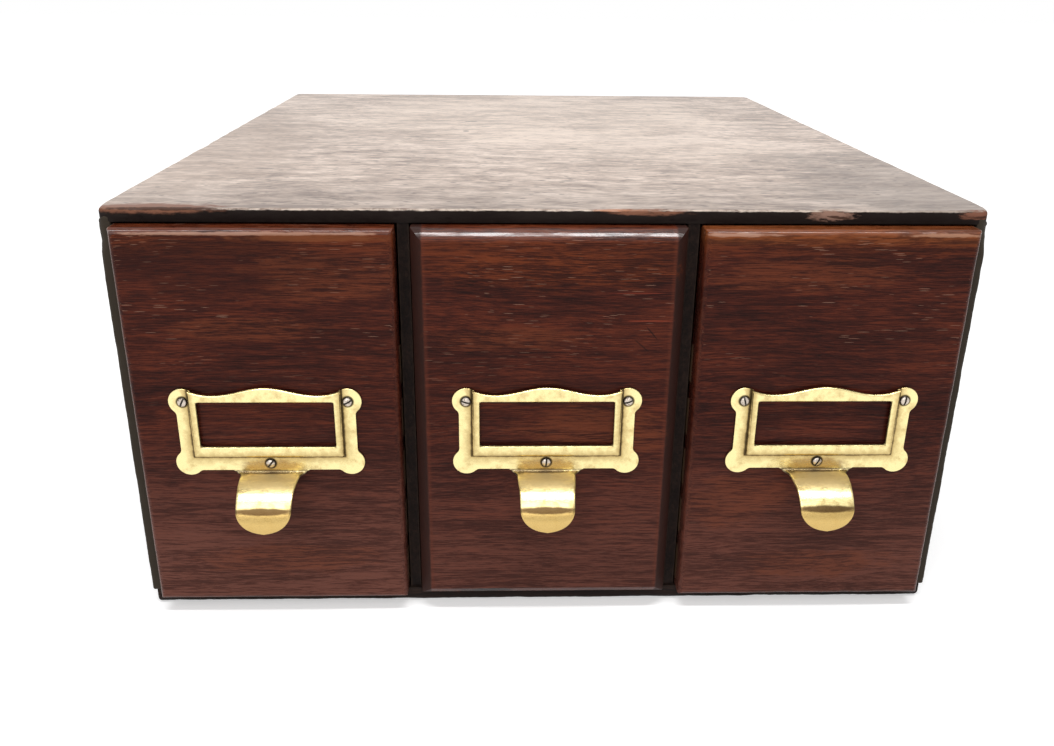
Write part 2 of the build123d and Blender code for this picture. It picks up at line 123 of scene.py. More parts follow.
class NodeSheet:
    """A node tree that is written out one call for each node."""

    def __init__(self, tree: bpy.types.NodeTree) -> None:
        """Keeps the tree."""
        self.tree = tree

    def fill(self, node: bpy.types.Node, inputs: dict) -> bpy.types.Node:
        """Links or sets a node's inputs.

        Args:
            node: the node.
            inputs: a socket to link or a value to set, by the input's name or number.

        Returns:
            The same node.
        """
        for key, value in inputs.items():
            if isinstance(value, bpy.types.NodeSocket):
                self.tree.links.new(value, node.inputs[key])
            else:
                node.inputs[key].default_value = value
        return node

    def add(self, kind: str, inputs: dict, output: int | str = 0, **settings) -> bpy.types.NodeSocket:
        """Adds a shader node and connects it.

        Args:
            kind: the node's type, without the word ShaderNode.
            inputs: a socket to link or a value to set, by the input's name or number.
            output: the name or number of the output to hand back.
            settings: the node's own properties.

        Returns:
            The chosen output socket.
        """
        node = self.tree.nodes.new("ShaderNode" + kind)
        for name, value in settings.items():
            setattr(node, name, value)
        return self.fill(node, inputs).outputs[output]

    def math(self, operation: str, first, second=0.0) -> bpy.types.NodeSocket:
        """Returns the result of a Math node on two sockets or numbers."""
        return self.add("Math", {0: first, 1: second}, operation=operation)

    def vector(self, operation: str, first, second=(0.0, 0.0, 0.0),
               output="Vector") -> bpy.types.NodeSocket:
        """Returns the result of a Vector Math node on two sockets or vectors."""
        return self.add("VectorMath", {0: first, 1: second}, output, operation=operation)

    def noise(self, vector, scale=1.0, detail: float = 2.0, roughness: float = 0.5) -> bpy.types.NodeSocket:
        """Returns the value of a Noise Texture, about 0.5 on average."""
        return self.add("TexNoise", {"Vector": vector, "Scale": scale, "Detail": detail,
                                     "Roughness": roughness})

    def remap(self, value, low, high, to_low: float = 0.0, to_high: float = 1.0) -> bpy.types.NodeSocket:
        """Returns the value eased from one range to another and clamped to it."""
        return self.add("MapRange", {"Value": value, "From Min": low, "From Max": high,
                                     "To Min": to_low, "To Max": to_high},
                        interpolation_type="SMOOTHSTEP")

    def mix(self, factor, first, second) -> bpy.types.NodeSocket:
        """Returns the colour mixed from two others, each a socket or a colour."""
        colours = [value if isinstance(value, bpy.types.NodeSocket) else rgba(value)
                   for value in (first, second)]
        return self.add("Mix", {0: factor, 6: colours[0], 7: colours[1]}, 2, data_type="RGBA")

    def group(self, tree: bpy.types.NodeTree, inputs: dict) -> bpy.types.NodeOutputs:
        """Adds a node group.

        Args:
            tree: the group's tree.
            inputs: a socket to link or a value to set, by the input's name.

        Returns:
            The group's outputs, which are read by name.
        """
        node = self.tree.nodes.new("ShaderNodeGroup")
        node.node_tree = tree
        return self.fill(node, inputs).outputs


def open_material(name: str) -> tuple[bpy.types.Material, NodeSheet]:
    """Returns a new material that uses nodes, and the sheet of its tree."""
    material = bpy.data.materials.new(name)
    material.use_nodes = True
    return material, NodeSheet(material.node_tree)


class EffectLibrary:
    """The shader node groups that several finishes share, each built once."""

    def __init__(self) -> None:
        """Builds every group."""
        self.grain = self.build_grain()
        self.arris = self.build_arris()
        self.patch = self.build_patch()
        self.band = self.build_band()
        self.outline = self.build_outline()

    @staticmethod
    def open_group(name: str, inputs: dict[str, str]) -> tuple[NodeSheet, bpy.types.NodeOutputs]:
        """Starts a group.

        Args:
            name: the group's name.
            inputs: the kind of each input socket, by its name.

        Returns:
            The group's sheet and the sockets of its inputs.
        """
        tree = bpy.data.node_groups.new(name, "ShaderNodeTree")
        for socket, kind in inputs.items():
            tree.interface.new_socket(socket, in_out="INPUT", socket_type="NodeSocket" + kind)
        return NodeSheet(tree), tree.nodes.new("NodeGroupInput").outputs

    @staticmethod
    def close_group(sheet: NodeSheet, outputs: dict[str, bpy.types.NodeSocket]) -> bpy.types.NodeTree:
        """Ends a group.

        Args:
            sheet: the group's sheet.
            outputs: the socket that feeds each output, by the output's name, all plain values.

        Returns:
            The finished tree.
        """
        for name in outputs:
            sheet.tree.interface.new_socket(name, in_out="OUTPUT", socket_type="NodeSocketFloat")
        sheet.fill(sheet.tree.nodes.new("NodeGroupOutput"), outputs)
        return sheet.tree

    def build_grain(self) -> bpy.types.NodeTree:
        """Returns the group for wood grain: Vector is in millimetres with the grain along X."""
        sheet, given = self.open_group("wood_grain", {"Vector": "Vector"})
        sway = sheet.math("MULTIPLY", sheet.noise(sheet.vector("MULTIPLY", given["Vector"],
                                                               (0.007, 0.012, 0.012))), 9.0)
        bend = sheet.add("CombineXYZ", {"Y": sway, "Z": sway})
        swayed = sheet.vector("ADD", given["Vector"], bend)

        def stretched(length: float, width: float) -> bpy.types.NodeSocket:
            """Returns the vector divided so that a feature gets a length and a width."""
            return sheet.vector("DIVIDE", swayed, (length, width, width))

        figure = sheet.noise(stretched(90.0, 16.0), detail=3.0, roughness=0.6)
        streak = sheet.noise(stretched(38.0, 1.7), detail=3.0, roughness=0.6)
        fibre = sheet.noise(stretched(9.0, 0.42), detail=4.0, roughness=0.7)
        pores = sheet.add("TexVoronoi", {"Vector": stretched(9.0, 0.75), "Scale": 1.0})
        glint_flecks = sheet.add("TexVoronoi", {"Vector": stretched(17.0, 0.6), "Scale": 1.0})
        crowd = sheet.remap(sheet.noise(stretched(50.0, 12.0)), 0.40, 0.62, 0.05, 0.20)
        return self.close_group(sheet, {
            "Figure": sheet.remap(figure, 0.32, 0.68),
            "Streak": sheet.remap(streak, 0.30, 0.70),
            "Fibre": sheet.remap(fibre, 0.32, 0.68),
            "Pores": sheet.remap(pores, 0.22, 0.08),
            "Flecks": sheet.remap(sheet.math("SUBTRACT", crowd, glint_flecks), 0.0, 0.04)})

    def build_arris(self) -> bpy.types.NodeTree:
        """Returns the group for rubbed arrises: how near a point is to an edge of a box."""
        sheet, given = self.open_group("rubbed_arris", {
            "Vector": "Vector", "Centre": "Vector", "Half Size": "Vector", "Width": "Float"})
        size = sheet.vector("ABSOLUTE", sheet.vector("SUBTRACT", given["Vector"], given["Centre"]))
        depth = sheet.add("SeparateXYZ", {0: sheet.vector("SUBTRACT", given["Half Size"], size)}).node
        x, y, z = depth.outputs
        second = sheet.math("MAXIMUM", sheet.math("MINIMUM", x, y),
                            sheet.math("MINIMUM", sheet.math("MAXIMUM", x, y), z))
        ragged = sheet.remap(sheet.noise(given["Vector"], 0.26, 4.0, 0.7), 0.3, 0.75, 0.15, 1.6)
        width = sheet.math("MULTIPLY", given["Width"], ragged)
        rubbed = sheet.math("SUBTRACT", 1.0, sheet.math("DIVIDE", second, width))
        near = sheet.math("SUBTRACT", 1.0, sheet.math("DIVIDE", second, given["Width"]))
        return self.close_group(sheet, {"Rubbed": sheet.remap(rubbed, 0.0, 1.0),
                                        "Near": sheet.remap(near, 0.0, 0.25)})

    @staticmethod
    def roughened(sheet: NodeSheet, given: bpy.types.NodeOutputs, value) -> bpy.types.NodeSocket:
        """Returns a value made ragged by the group's inputs Scale and Ragged, most of all upwards."""
        spots = sheet.noise(sheet.vector("MULTIPLY", given["Vector"], (1.0, 2.2, 3.0)),
                            given["Scale"], 4.0, 0.65)
        broken = sheet.math("MULTIPLY", sheet.math("SUBTRACT", spots, 0.5), given["Ragged"])
        return sheet.math("ADD", value, broken)

    def build_patch(self) -> bpy.types.NodeTree:
        """Returns the group for a ragged patch: an ellipsoid, turned in the front's plane."""
        sheet, given = self.open_group("ragged_patch", {
            "Vector": "Vector", "Centre": "Vector", "Half Size": "Vector", "Turn": "Float",
            "Scale": "Float", "Ragged": "Float"})
        turned = sheet.add("VectorRotate", {"Vector": given["Vector"], "Center": given["Centre"],
                                            "Axis": Axis.Y.value, "Angle": given["Turn"]})
        offset = sheet.vector("SUBTRACT", turned, given["Centre"])
        reach = sheet.vector("LENGTH", sheet.vector("DIVIDE", offset, given["Half Size"]), output="Value")
        return self.close_group(sheet, {
            "Mask": sheet.remap(self.roughened(sheet, given, reach), 1.1, 0.6)})

    def build_band(self) -> bpy.types.NodeTree:
        """Returns the group for a ragged band: none of it at the start and all by the end."""
        sheet, given = self.open_group("ragged_band", {
            "Vector": "Vector", "Height": "Float", "Start": "Float", "End": "Float", "Scale": "Float",
            "Ragged": "Float"})
        height = self.roughened(sheet, given, given["Height"])
        return self.close_group(sheet, {"Mask": sheet.remap(height, given["Start"], given["End"])})

    def build_outline(self) -> bpy.types.NodeTree:
        """Returns the group for a line along an upright rectangle about the origin, in X and Z."""
        sheet, given = self.open_group("rectangle_line", {
            "Vector": "Vector", "Half Width": "Float", "Half Height": "Float", "Reach": "Float"})
        parts = sheet.add("SeparateXYZ", {0: sheet.vector("ABSOLUTE", given["Vector"])}).node.outputs
        distance = sheet.math("ABSOLUTE", sheet.math(
            "MAXIMUM", sheet.math("SUBTRACT", parts["X"], given["Half Width"]),
            sheet.math("SUBTRACT", parts["Z"], given["Half Height"])))
        ragged = sheet.remap(sheet.noise(given["Vector"], 0.35, 3.0), 0.3, 0.7, 0.7, 1.3)
        reach = sheet.math("MULTIPLY", given["Reach"], ragged)
        mask = sheet.math("SUBTRACT", 1.0, sheet.math("DIVIDE", distance, reach))
        return self.close_group(sheet, {"Mask": sheet.remap(mask, 0.0, 1.0)})


# Finishes

@dataclass(frozen=True)
class Patch:
    """A stain, dent or bare place on a board, or a painted highlight, reflection or shade, in millimetres:
    an ellipsoid with a ragged edge.
    """

    centre: Point
    half_size: Point
    colour: Colour
    strength: float = 0.8
    ragged: float = 1.2
    scale: float = 0.25
    turn: float = 0.0
    dulled: float = 0.0
    grained: float = 0.0

    def mask(self, sheet: NodeSheet, effects: EffectLibrary,
             place: bpy.types.NodeSocket) -> bpy.types.NodeSocket:
        """Returns the patch's mask at a place in millimetres."""
        return sheet.group(effects.patch, {
            "Vector": place, "Centre": self.centre, "Half Size": self.half_size, "Turn": self.turn,
            "Scale": self.scale, "Ragged": self.ragged})["Mask"]


@dataclass(frozen=True)
class Band:
    """A change of colour along one axis, in millimetres: none at the start and full at the end."""

    axis: Axis
    start: float
    end: float
    colour: Colour
    strength: float = 0.8
    ragged: float = 1.0
    scale: float = 0.3
    dulled: float = 0.0
    grained: float = 0.0

    def mask(self, sheet: NodeSheet, effects: EffectLibrary,
             place: bpy.types.NodeSocket) -> bpy.types.NodeSocket:
        """Returns the band's mask at a place in millimetres."""
        height = sheet.vector("DOT_PRODUCT", place, self.axis.value, "Value")
        return sheet.group(effects.band, {
            "Vector": place, "Height": height, "Start": self.start, "End": self.end,
            "Scale": self.scale, "Ragged": self.ragged})["Mask"]


@dataclass(frozen=True)
class WoodFinish:
    """A wood's stain and varnish, from which each board takes its own material."""

    slot: str
    dark: Colour
    middle: Colour
    light: Colour
    pore: Colour
    fleck_and_glint: Colour
    arris: Colour
    arris_width: float = 2.0
    arris_strength: float = 0.5
    arris_coat: float = 0.0
    coat: float = 0.0
    coat_roughness: float = 0.07
    coat_heights: Span = (-2.0, -1.0)
    fleck_and_glint_strength: float = 0.0
    # Heights over which the flecks' painted glints fade in.
    fleck_glint_heights: Span = (-2.0, -1.0)
    pore_strength: float = 0.6
    roughness: Span = (0.3, 0.5)
    specular: float = 0.5
    relief: float = 0.06
    coarseness: float = 1.0
    figure_share: float = 0.22
    streak_share: float = 0.32
    fibre_share: float = 0.46
    drift_step: int = 97
    drift_range: int = 811

    def material(self, node: str, grain: Grain, effects: EffectLibrary,
                 marks: tuple[Patch | Band, ...] = ()) -> bpy.types.Material:
        """Makes the material of one board.

        Args:
            node: the CAD node whose box and name the board has.
            grain: the direction of its grain.
            effects: the shared node groups.
            marks: its stains, rubs and bands, from the lowest to the topmost.

        Returns:
            The material.
        """
        low, high = (Vector(corner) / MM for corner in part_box(node))
        material, sheet = open_material(f"{self.slot}_{node}")
        place = sheet.vector("SCALE", sheet.add("TexCoord", {}, "Object"))
        place.node.inputs["Scale"].default_value = 1 / MM
        level = sheet.vector("DOT_PRODUCT", place, Axis.Z.value, "Value")
        drift = Vector((float(self.drift_step * number_of(node) % self.drift_range), 0.0, 0.0))
        laid = sheet.add("Mapping", {"Vector": place, "Location": drift, "Rotation": grain.value,
                                     "Scale": (1.0, 1 / self.coarseness, 1 / self.coarseness)})
        wood = sheet.group(effects.grain, {"Vector": laid})
        figure, streak, fibre = (sheet.math("MULTIPLY", wood[name], share) for name, share in (
            ("Figure", self.figure_share), ("Streak", self.streak_share), ("Fibre", self.fibre_share)))
        tone = sheet.math("ADD", figure, sheet.math("ADD", streak, fibre))
        ramp = sheet.add("ValToRGB", {"Fac": tone}).node
        first, last = ramp.color_ramp.elements
        first.color, first.position = rgba(self.dark), 0.12
        last.color, last.position = rgba(self.light), 0.88
        ramp.color_ramp.elements.new(0.5).color = rgba(self.middle)
        colour = sheet.mix(sheet.math("MULTIPLY", wood["Pores"], self.pore_strength),
                           ramp.outputs["Color"], self.pore)
        # Pale flecks: grain, with painted glints of light in its pores; on the fronts they are faded in
        # towards the top, where the light catches them.
        if self.fleck_and_glint_strength:
            glint_flecks = sheet.math("MULTIPLY", wood["Flecks"],
                                sheet.remap(level, *self.fleck_glint_heights, 0.12, self.fleck_and_glint_strength))
            colour = sheet.mix(glint_flecks, colour, self.fleck_and_glint)
        arris = sheet.group(effects.arris, {
            "Vector": place, "Centre": (low + high) / 2, "Half Size": (high - low) / 2,
            "Width": self.arris_width})
        colour = sheet.mix(sheet.math("MULTIPLY", arris["Rubbed"], self.arris_strength), colour,
                           self.arris)
        roughness = sheet.remap(wood["Fibre"], 0.0, 1.0, *self.roughness)
        broken = sheet.noise(sheet.vector("MULTIPLY", place, (0.07, 0.4, 0.6)), detail=4.0, roughness=0.65)
        upper = sheet.math("MULTIPLY", arris["Near"], sheet.remap(level, *self.coat_heights))
        gloss = sheet.math("MULTIPLY", upper, sheet.remap(broken, 0.36, 0.56, 0.4, 1.0))
        coat = sheet.remap(gloss, 0.0, 1.0, self.coat, self.coat + self.arris_coat)
        for mark in marks:
            mask = mark.mask(sheet, effects, place)
            if mark.grained:
                lit = sheet.remap(tone, 0.35, 0.62, 1 - mark.grained, 1.0)
                mask = sheet.math("MULTIPLY", mask, lit)
            colour = sheet.mix(sheet.math("MULTIPLY", mask, mark.strength), colour, mark.colour)
            if mark.dulled:
                dulled = sheet.math("MULTIPLY", mask, mark.dulled)
                roughness = sheet.math("ADD", roughness, sheet.math("MULTIPLY", dulled, 0.3))
                coat = sheet.math("MULTIPLY", coat, sheet.math("SUBTRACT", 1.0, dulled))
        height = sheet.math("SUBTRACT", sheet.math("MULTIPLY", wood["Fibre"], 0.5), wood["Pores"])
        normal = sheet.add("Bump", {"Height": height, "Strength": 1.0, "Distance": self.relief * MM},
                           "Normal")
        shader = sheet.fill(material.node_tree.nodes["Principled BSDF"], {
            "Base Color": colour, "Roughness": roughness, "Normal": normal,
            "Specular IOR Level": self.specular})
        if self.coat or self.arris_coat:
            sheet.fill(shader, {"Coat Weight": coat, "Coat Roughness": self.coat_roughness})
        return material


@dataclass(frozen=True)
class BrassFinish:
    """Polished brass with dark patina in its creases, tarnish, and painted reflections and shade, for one
    label holder.
    """

    polished: Colour = (0.85, 0.72, 0.355)
    tarnish_shade_colour: Colour = (0.40, 0.27, 0.10)
    patina: Colour = (0.040, 0.024, 0.010)
    marks: tuple[Patch | Band, ...] = (
        # Painted reflection: the tongue's shelf and lip are painted tan, the band across the lip's top dark
        # brown, and the flange's foot tan, as if darker surroundings and the tongue were mirrored there.
        Patch((0.0, -8.0, -25.0), (18.0, 8.5, 2.6), (0.56, 0.43, 0.22), 0.75, 0.9, 0.15, dulled=1.0),
        Band(Axis.Z, -30.5, -33.5, (0.54, 0.36, 0.12), 0.9, 2.0, 0.2),
        Patch((0.0, -22.0, -32.3), (16.0, 12.0, 1.6), (0.10, 0.056, 0.022), 0.95, 0.6, 0.15),
        Patch((0.0, -1.2, -20.6), (15.0, 3.0, 3.4), (0.36, 0.25, 0.12), 0.8, 0.8, 0.3),
        Patch((-14.5, -2.2, -24.2), (5.5, 4.0, 1.7), (0.13, 0.095, 0.060), 0.85, 1.5, 0.5),
        Patch((14.5, -2.2, -24.2), (4.5, 4.0, 1.5), (0.13, 0.095, 0.060), 0.75, 1.5, 0.5),
        Patch((0.0, -1.8, -23.5), (16.0, 2.2, 0.9), (0.12, 0.080, 0.045), 0.85, 0.8, 0.5),
        # Painted shade: the back half of each sheet's edge, against the wood, is painted dark.
        Band(Axis.Y, -0.95, -0.45, (0.045, 0.026, 0.011), 0.9, 0.3, 0.8),
    )

    def material(self, holder: "LabelHolder", effects: EffectLibrary) -> bpy.types.Material:
        """Makes the brass of one label holder, whose marks are placed from its window's centre.

        Args:
            holder: the label holder, for the places of its creases.
            effects: the shared node groups.

        Returns:
            The material.
        """
        material, sheet = open_material(f"brass_{holder.bay.value}")
        centred = sheet.vector("SUBTRACT", sheet.add("TexCoord", {}, "Object"), holder.centre)
        in_mm = sheet.vector("SCALE", centred)
        in_mm.node.inputs["Scale"].default_value = 1 / MM
        # The line round the pocket is open at the top: its rectangle reaches up past the holder.
        lift = holder.plate_half_width
        lowered = sheet.vector("SUBTRACT", in_mm, (0.0, 0.0, lift))
        step, painted_shade_halo = (sheet.group(effects.outline, {
            "Vector": lowered, "Half Width": holder.bezel_half_width + holder.cove / 2,
            "Half Height": lift - holder.bezel_foot + holder.cove / 2, "Reach": reach})["Mask"]
            for reach in (1.0, 4.5))
        window = sheet.group(effects.outline, {
            "Vector": in_mm, "Half Width": holder.window_width / 2,
            "Half Height": holder.window_height / 2, "Reach": 0.35})["Mask"]
        crease = sheet.math("MAXIMUM", sheet.math("MULTIPLY", step, 0.95),
                            sheet.math("MULTIPLY", window, 0.8))
        for across, up in holder.screw_places():
            away = sheet.vector("MULTIPLY", sheet.vector("SUBTRACT", in_mm, (across, 0.0, up)),
                                (1.0, 0.0, 1.0))
            reach = sheet.vector("LENGTH", away, output="Value")
            crease = sheet.math("MAXIMUM", crease, sheet.remap(reach, 3.2, 2.4, 0.0, 0.9))
        cloud = sheet.noise(in_mm, 0.16, 4.0, 0.65)
        spots = sheet.noise(in_mm, 0.8, 4.0, 0.7)
        # Tarnish clouds at random, and a tan halo of painted shade reaching about 4.5 mm out from the
        # bezel's step.
        tarnish_and_shade = sheet.math("MAXIMUM", sheet.math("MULTIPLY", sheet.remap(cloud, 0.45, 0.70), 0.6),
                         sheet.math("MULTIPLY", painted_shade_halo, 0.85))
        specks = sheet.math("MULTIPLY", sheet.remap(spots, 0.67, 0.75), 0.7)
        colour = sheet.mix(tarnish_and_shade, self.polished, self.tarnish_shade_colour)
        dull = sheet.math("MULTIPLY", crease, 0.35)
        for mark in self.marks:
            mask = mark.mask(sheet, effects, in_mm)
            colour = sheet.mix(sheet.math("MULTIPLY", mask, mark.strength), colour, mark.colour)
            if mark.dulled:
                dull = sheet.math("MAXIMUM", dull, sheet.math("MULTIPLY", mask, 0.3 * mark.dulled))
        colour = sheet.mix(sheet.math("MAXIMUM", crease, specks), colour, self.patina)
        scratches = sheet.noise(sheet.vector("MULTIPLY", in_mm, (0.5, 2.0, 3.0)), 1.0, 5.0, 0.7)
        roughness = sheet.math("ADD", sheet.remap(scratches, 0.3, 0.7, 0.20, 0.36), dull)
        height = sheet.math("ADD", sheet.math("MULTIPLY", scratches, 0.08), cloud)
        normal = sheet.add("Bump", {"Height": height, "Strength": 1.0, "Distance": 0.12 * MM}, "Normal")
        sheet.fill(material.node_tree.nodes["Principled BSDF"], {
            "Base Color": colour, "Roughness": roughness, "Normal": normal, "Metallic": 1.0})
        return material


@dataclass(frozen=True)
class SteelFinish:
    """Old steel: grey where it is rubbed, brown where it has rusted, and dark in the slots and round the
    heads' rims by the plate: grime there, with painted shade.
    """

    bright: Colour = (0.56, 0.49, 0.42)
    rust: Colour = (0.10, 0.055, 0.03)
    rusted: float = 0.4
    seat: float = -235.7 * MM
    grime_and_shade: Colour = (0.020, 0.014, 0.010)

    def material(self, name: str) -> bpy.types.Material:
        """Makes the steel, which is black behind the seat, its place along Y in metres: grime and painted
        shade in the slots and round the heads' rims.

        Args:
            name: the material's name.

        Returns:
            The material.
        """
        material, sheet = open_material(name)
        place = sheet.add("TexCoord", {}, "Object")
        cloud = sheet.noise(place, 900.0, 4.0, 0.7)
        rust = sheet.remap(cloud, 0.75 - self.rusted / 2, 0.85 - self.rusted / 2)
        # Painted shade with grime: everything deeper than the slot floors is darkened.
        depth = sheet.vector("DOT_PRODUCT", place, Axis.Y.value, "Value")
        grime_and_shade = sheet.remap(depth, self.seat, self.seat + 0.35 * MM)
        normal = sheet.add("Bump", {"Height": cloud, "Strength": 1.0, "Distance": 0.08 * MM}, "Normal")
        sheet.fill(material.node_tree.nodes["Principled BSDF"], {
            "Base Color": sheet.mix(grime_and_shade, sheet.mix(rust, self.bright, self.rust), self.grime_and_shade),
            "Metallic": sheet.remap(sheet.math("MAXIMUM", rust, grime_and_shade), 0.0, 1.0, 1.0, 0.3),
            "Roughness": sheet.remap(rust, 0.0, 1.0, 0.32, 0.7), "Normal": normal})
        return material


# Meshes

def finish_mesh(name: str, vertices: list, faces: list, sharp: float = 40.0) -> bpy.types.Object:
    """Makes a closed, smooth-shaded object from points and faces.

    Args:
        name: the object's name.
        vertices: the points, in metres.
        faces: the faces, as tuples of point numbers.
        sharp: the angle in degrees past which an edge is shaded sharp.

    Returns:
        The object, linked to the scene.
    """
    mesh = bpy.data.meshes.new(name)
    mesh.from_pydata([tuple(vertex) for vertex in vertices], [], faces)
    body = bmesh.new()
    body.from_mesh(mesh)
    bmesh.ops.remove_doubles(body, verts=body.verts, dist=0.5e-6)
    bmesh.ops.recalc_face_normals(body, faces=body.faces)
    body.to_mesh(mesh)
    body.free()
    mesh.shade_smooth()
    mesh.set_sharp_from_angle(angle=math.radians(sharp))
    thing = bpy.data.objects.new(name, mesh)
    bpy.context.scene.collection.objects.link(thing)
    return thing


def skin(rows: list[list[int]], closed: bool = True) -> list[tuple[int, ...]]:
    """Returns the four-sided faces between neighbouring rows of point numbers.

    Args:
        rows: the rows, all of one length.
        closed: whether each row joins its own end to its start.

    Returns:
        The faces.
    """
    faces = []
    for one, other in zip(rows, rows[1:]):
        for index in range(len(one) - (0 if closed else 1)):
            following = (index + 1) % len(one)
            faces.append((one[index], one[following], other[following], other[index]))
    return faces


def arc(centre: Spot, radius: float, first: float, last: float, steps: int = 10) -> list[Spot]:
    """Returns points on a circle's arc.

    Args:
        centre: the circle's centre.
        radius: its radius.
        first: the angle in radians at which the arc starts.
        last: the angle at which it ends, less than first for a clockwise arc.
        steps: the number of steps between them.

    Returns:
        The points, both ends among them.
    """
    return [(centre[0] + radius * math.cos(first + (last - first) * step / steps),
             centre[1] + radius * math.sin(first + (last - first) * step / steps))
            for step in range(steps + 1)]


class EdgeLoop:
    """A closed outline in the plane, which can be set in by a distance."""

    def __init__(self, points: list[Spot]) -> None:
        """Finds the outline's outward normals.

        Args:
            points: the outline's points, anticlockwise for an outside and clockwise for a hole.
        """
        self.points = np.array(points)
        ahead = np.roll(self.points, -1, axis=0) - self.points
        ahead /= np.linalg.norm(ahead, axis=1)[:, None]
        along = ahead + np.roll(ahead, 1, axis=0)
        along /= np.linalg.norm(along, axis=1)[:, None]
        self.normals = np.stack([along[:, 1], -along[:, 0]], axis=1)

    def inset(self, amount: float) -> np.ndarray:
        """Returns the outline's points moved inwards by the amount."""
        return self.points - self.normals * amount


class BoardLoop:
    """A rectangle with round corners, whose inset loops meet in a mitre past the corner radius."""

    def __init__(self, half_size: Spot, corner: float, step: float, turns: int = 8) -> None:
        """Lays out the points at even steps.

        Args:
            half_size: half the rectangle's width and height.
            corner: the corners' radius.
            step: the greatest distance between points on the straight sides.
            turns: the number of steps round a corner.
        """
        self.half_size = np.array(half_size)
        centres = [(self.half_size - corner) * np.array(sign)
                   for sign in ((1, -1), (1, 1), (-1, 1), (-1, -1))]
        points, normals = [], []
        for quarter, centre in enumerate(centres):
            for turn in range(turns + 1):
                angle = (quarter - 1 + turn / turns) * RIGHT_ANGLE
                normals.append(np.array((math.cos(angle), math.sin(angle))))
                points.append(centre + corner * normals[-1])
            start, end = points[-1], centres[(quarter + 1) % 4] + corner * normals[-1]
            count = max(1, math.ceil(np.linalg.norm(end - start) / step))
            for index in range(1, count):
                points.append(start + (end - start) * index / count)
                normals.append(normals[-1])
        self.points = np.array(points)
        self.normals = np.array(normals)

    def inset(self, amount: np.ndarray) -> np.ndarray:
        """Returns the outline's points moved inwards by their amounts, mitred at the corners."""
        depth = amount[:, None]
        limit = self.half_size - depth
        return np.clip(self.points - self.normals * depth, -limit, limit)


@dataclass(frozen=True)
class Rub:
    """A place where handling has worn an arris away, in millimetres in the cabinet's frame."""

    centre: Point
    reach: float
    depth: float


@dataclass
class WornBoard:
    """A board with rounded or bevelled arrises, worn in places, in the box of a CAD node.

    Sizes are in millimetres. The rim is built as rings between two flat faces. The taper draws the rim
    in towards the back, so that tails or a panel let into it show instead of sharing its face.
    """

    node: str
    facing: Facing
    corner: float = 0.6
    face_arris: float = 1.0
    back_arris: float = 0.5
    taper: float = 0.0
    flatness: float = 0.0
    waver: float = 0.15
    wear: float = 0.1
    step: float = 1.5
    turns: int = 6
    margin: float = 0.6
    long_wave: float = 11.0
    short_wave: float = 2.5
    rubs: tuple[Rub, ...] = ()

    def profile(self, share: float) -> Spot:
        """Returns the inset and the depth at a share of the way round an arris of width 1."""
        angle = RIGHT_ANGLE * share
        bow = 1 - self.flatness
        return (bow * (1 - math.sin(angle)) + self.flatness * (1 - share),
                bow * (1 - math.cos(angle)) + self.flatness * share)

    def build(self) -> bpy.types.Object:
        """Returns the board as a new object."""
        low, high = (Vector(corner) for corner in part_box(self.node))
        normal, sign = self.facing.value
        across, up = (axis for axis in range(3) if axis != normal)
        centre, half = (low + high) / 2, (high - low) / 2
        thickness = 2 * half[normal] / MM
        loop = BoardLoop((half[across] / MM, half[up] / MM), self.corner, self.step)
        count = len(loop.points)

        def place(inset: np.ndarray, depth: np.ndarray) -> list[Vector]:
            """Returns a ring of the outline, set in and at a depth below the good face."""
            spots = []
            for (u, v), w in zip(loop.inset(inset), depth):
                spot = Vector(centre)
                spot[across] += u * MM
                spot[up] += v * MM
                spot[normal] += sign * (half[normal] - w * MM)
                spots.append(spot)
            return spots

        none = np.zeros(count)
        rim = place(none, none)
        uneven = np.array([noise.noise(spot / (self.long_wave * MM))
                           + 0.5 * noise.noise(spot / (self.short_wave * MM)) for spot in rim])
        worn = none.copy()
        for rub in self.rubs:
            away = [(spot / MM - Vector(rub.centre)).length / rub.reach for spot in rim]
            worn += rub.depth * np.array([smooth(1.6 * (1 - value)) for value in away])
        arris = self.face_arris + self.waver * uneven + worn * (1 + 0.5 * uneven)
        arris = np.clip(arris, 0.15, thickness * 0.85)
        rings = [place(arris + self.margin, none)]
        for turn in range(self.turns + 1):
            inset, depth = self.profile(turn / self.turns)
            rough = self.wear * math.sin(math.pi * turn / self.turns) * np.clip(uneven, 0.0, 1.0)
            rings.append(place(inset * arris + rough, depth * arris))
        back = none + self.back_arris
        for turn in range(3):
            angle = RIGHT_ANGLE * turn / 2
            rings.append(place(self.taper + back * (1 - math.cos(angle)),
                               thickness - back * (1 - math.sin(angle))))
        rings.append(place(self.taper + back + self.margin, none + thickness))
        rows = [list(range(index * count, (index + 1) * count)) for index in range(len(rings))]
        faces = [tuple(rows[0]), tuple(rows[-1]), *skin(rows)]
        return finish_mesh(self.node + "_board", [spot for ring in rings for spot in ring], faces)


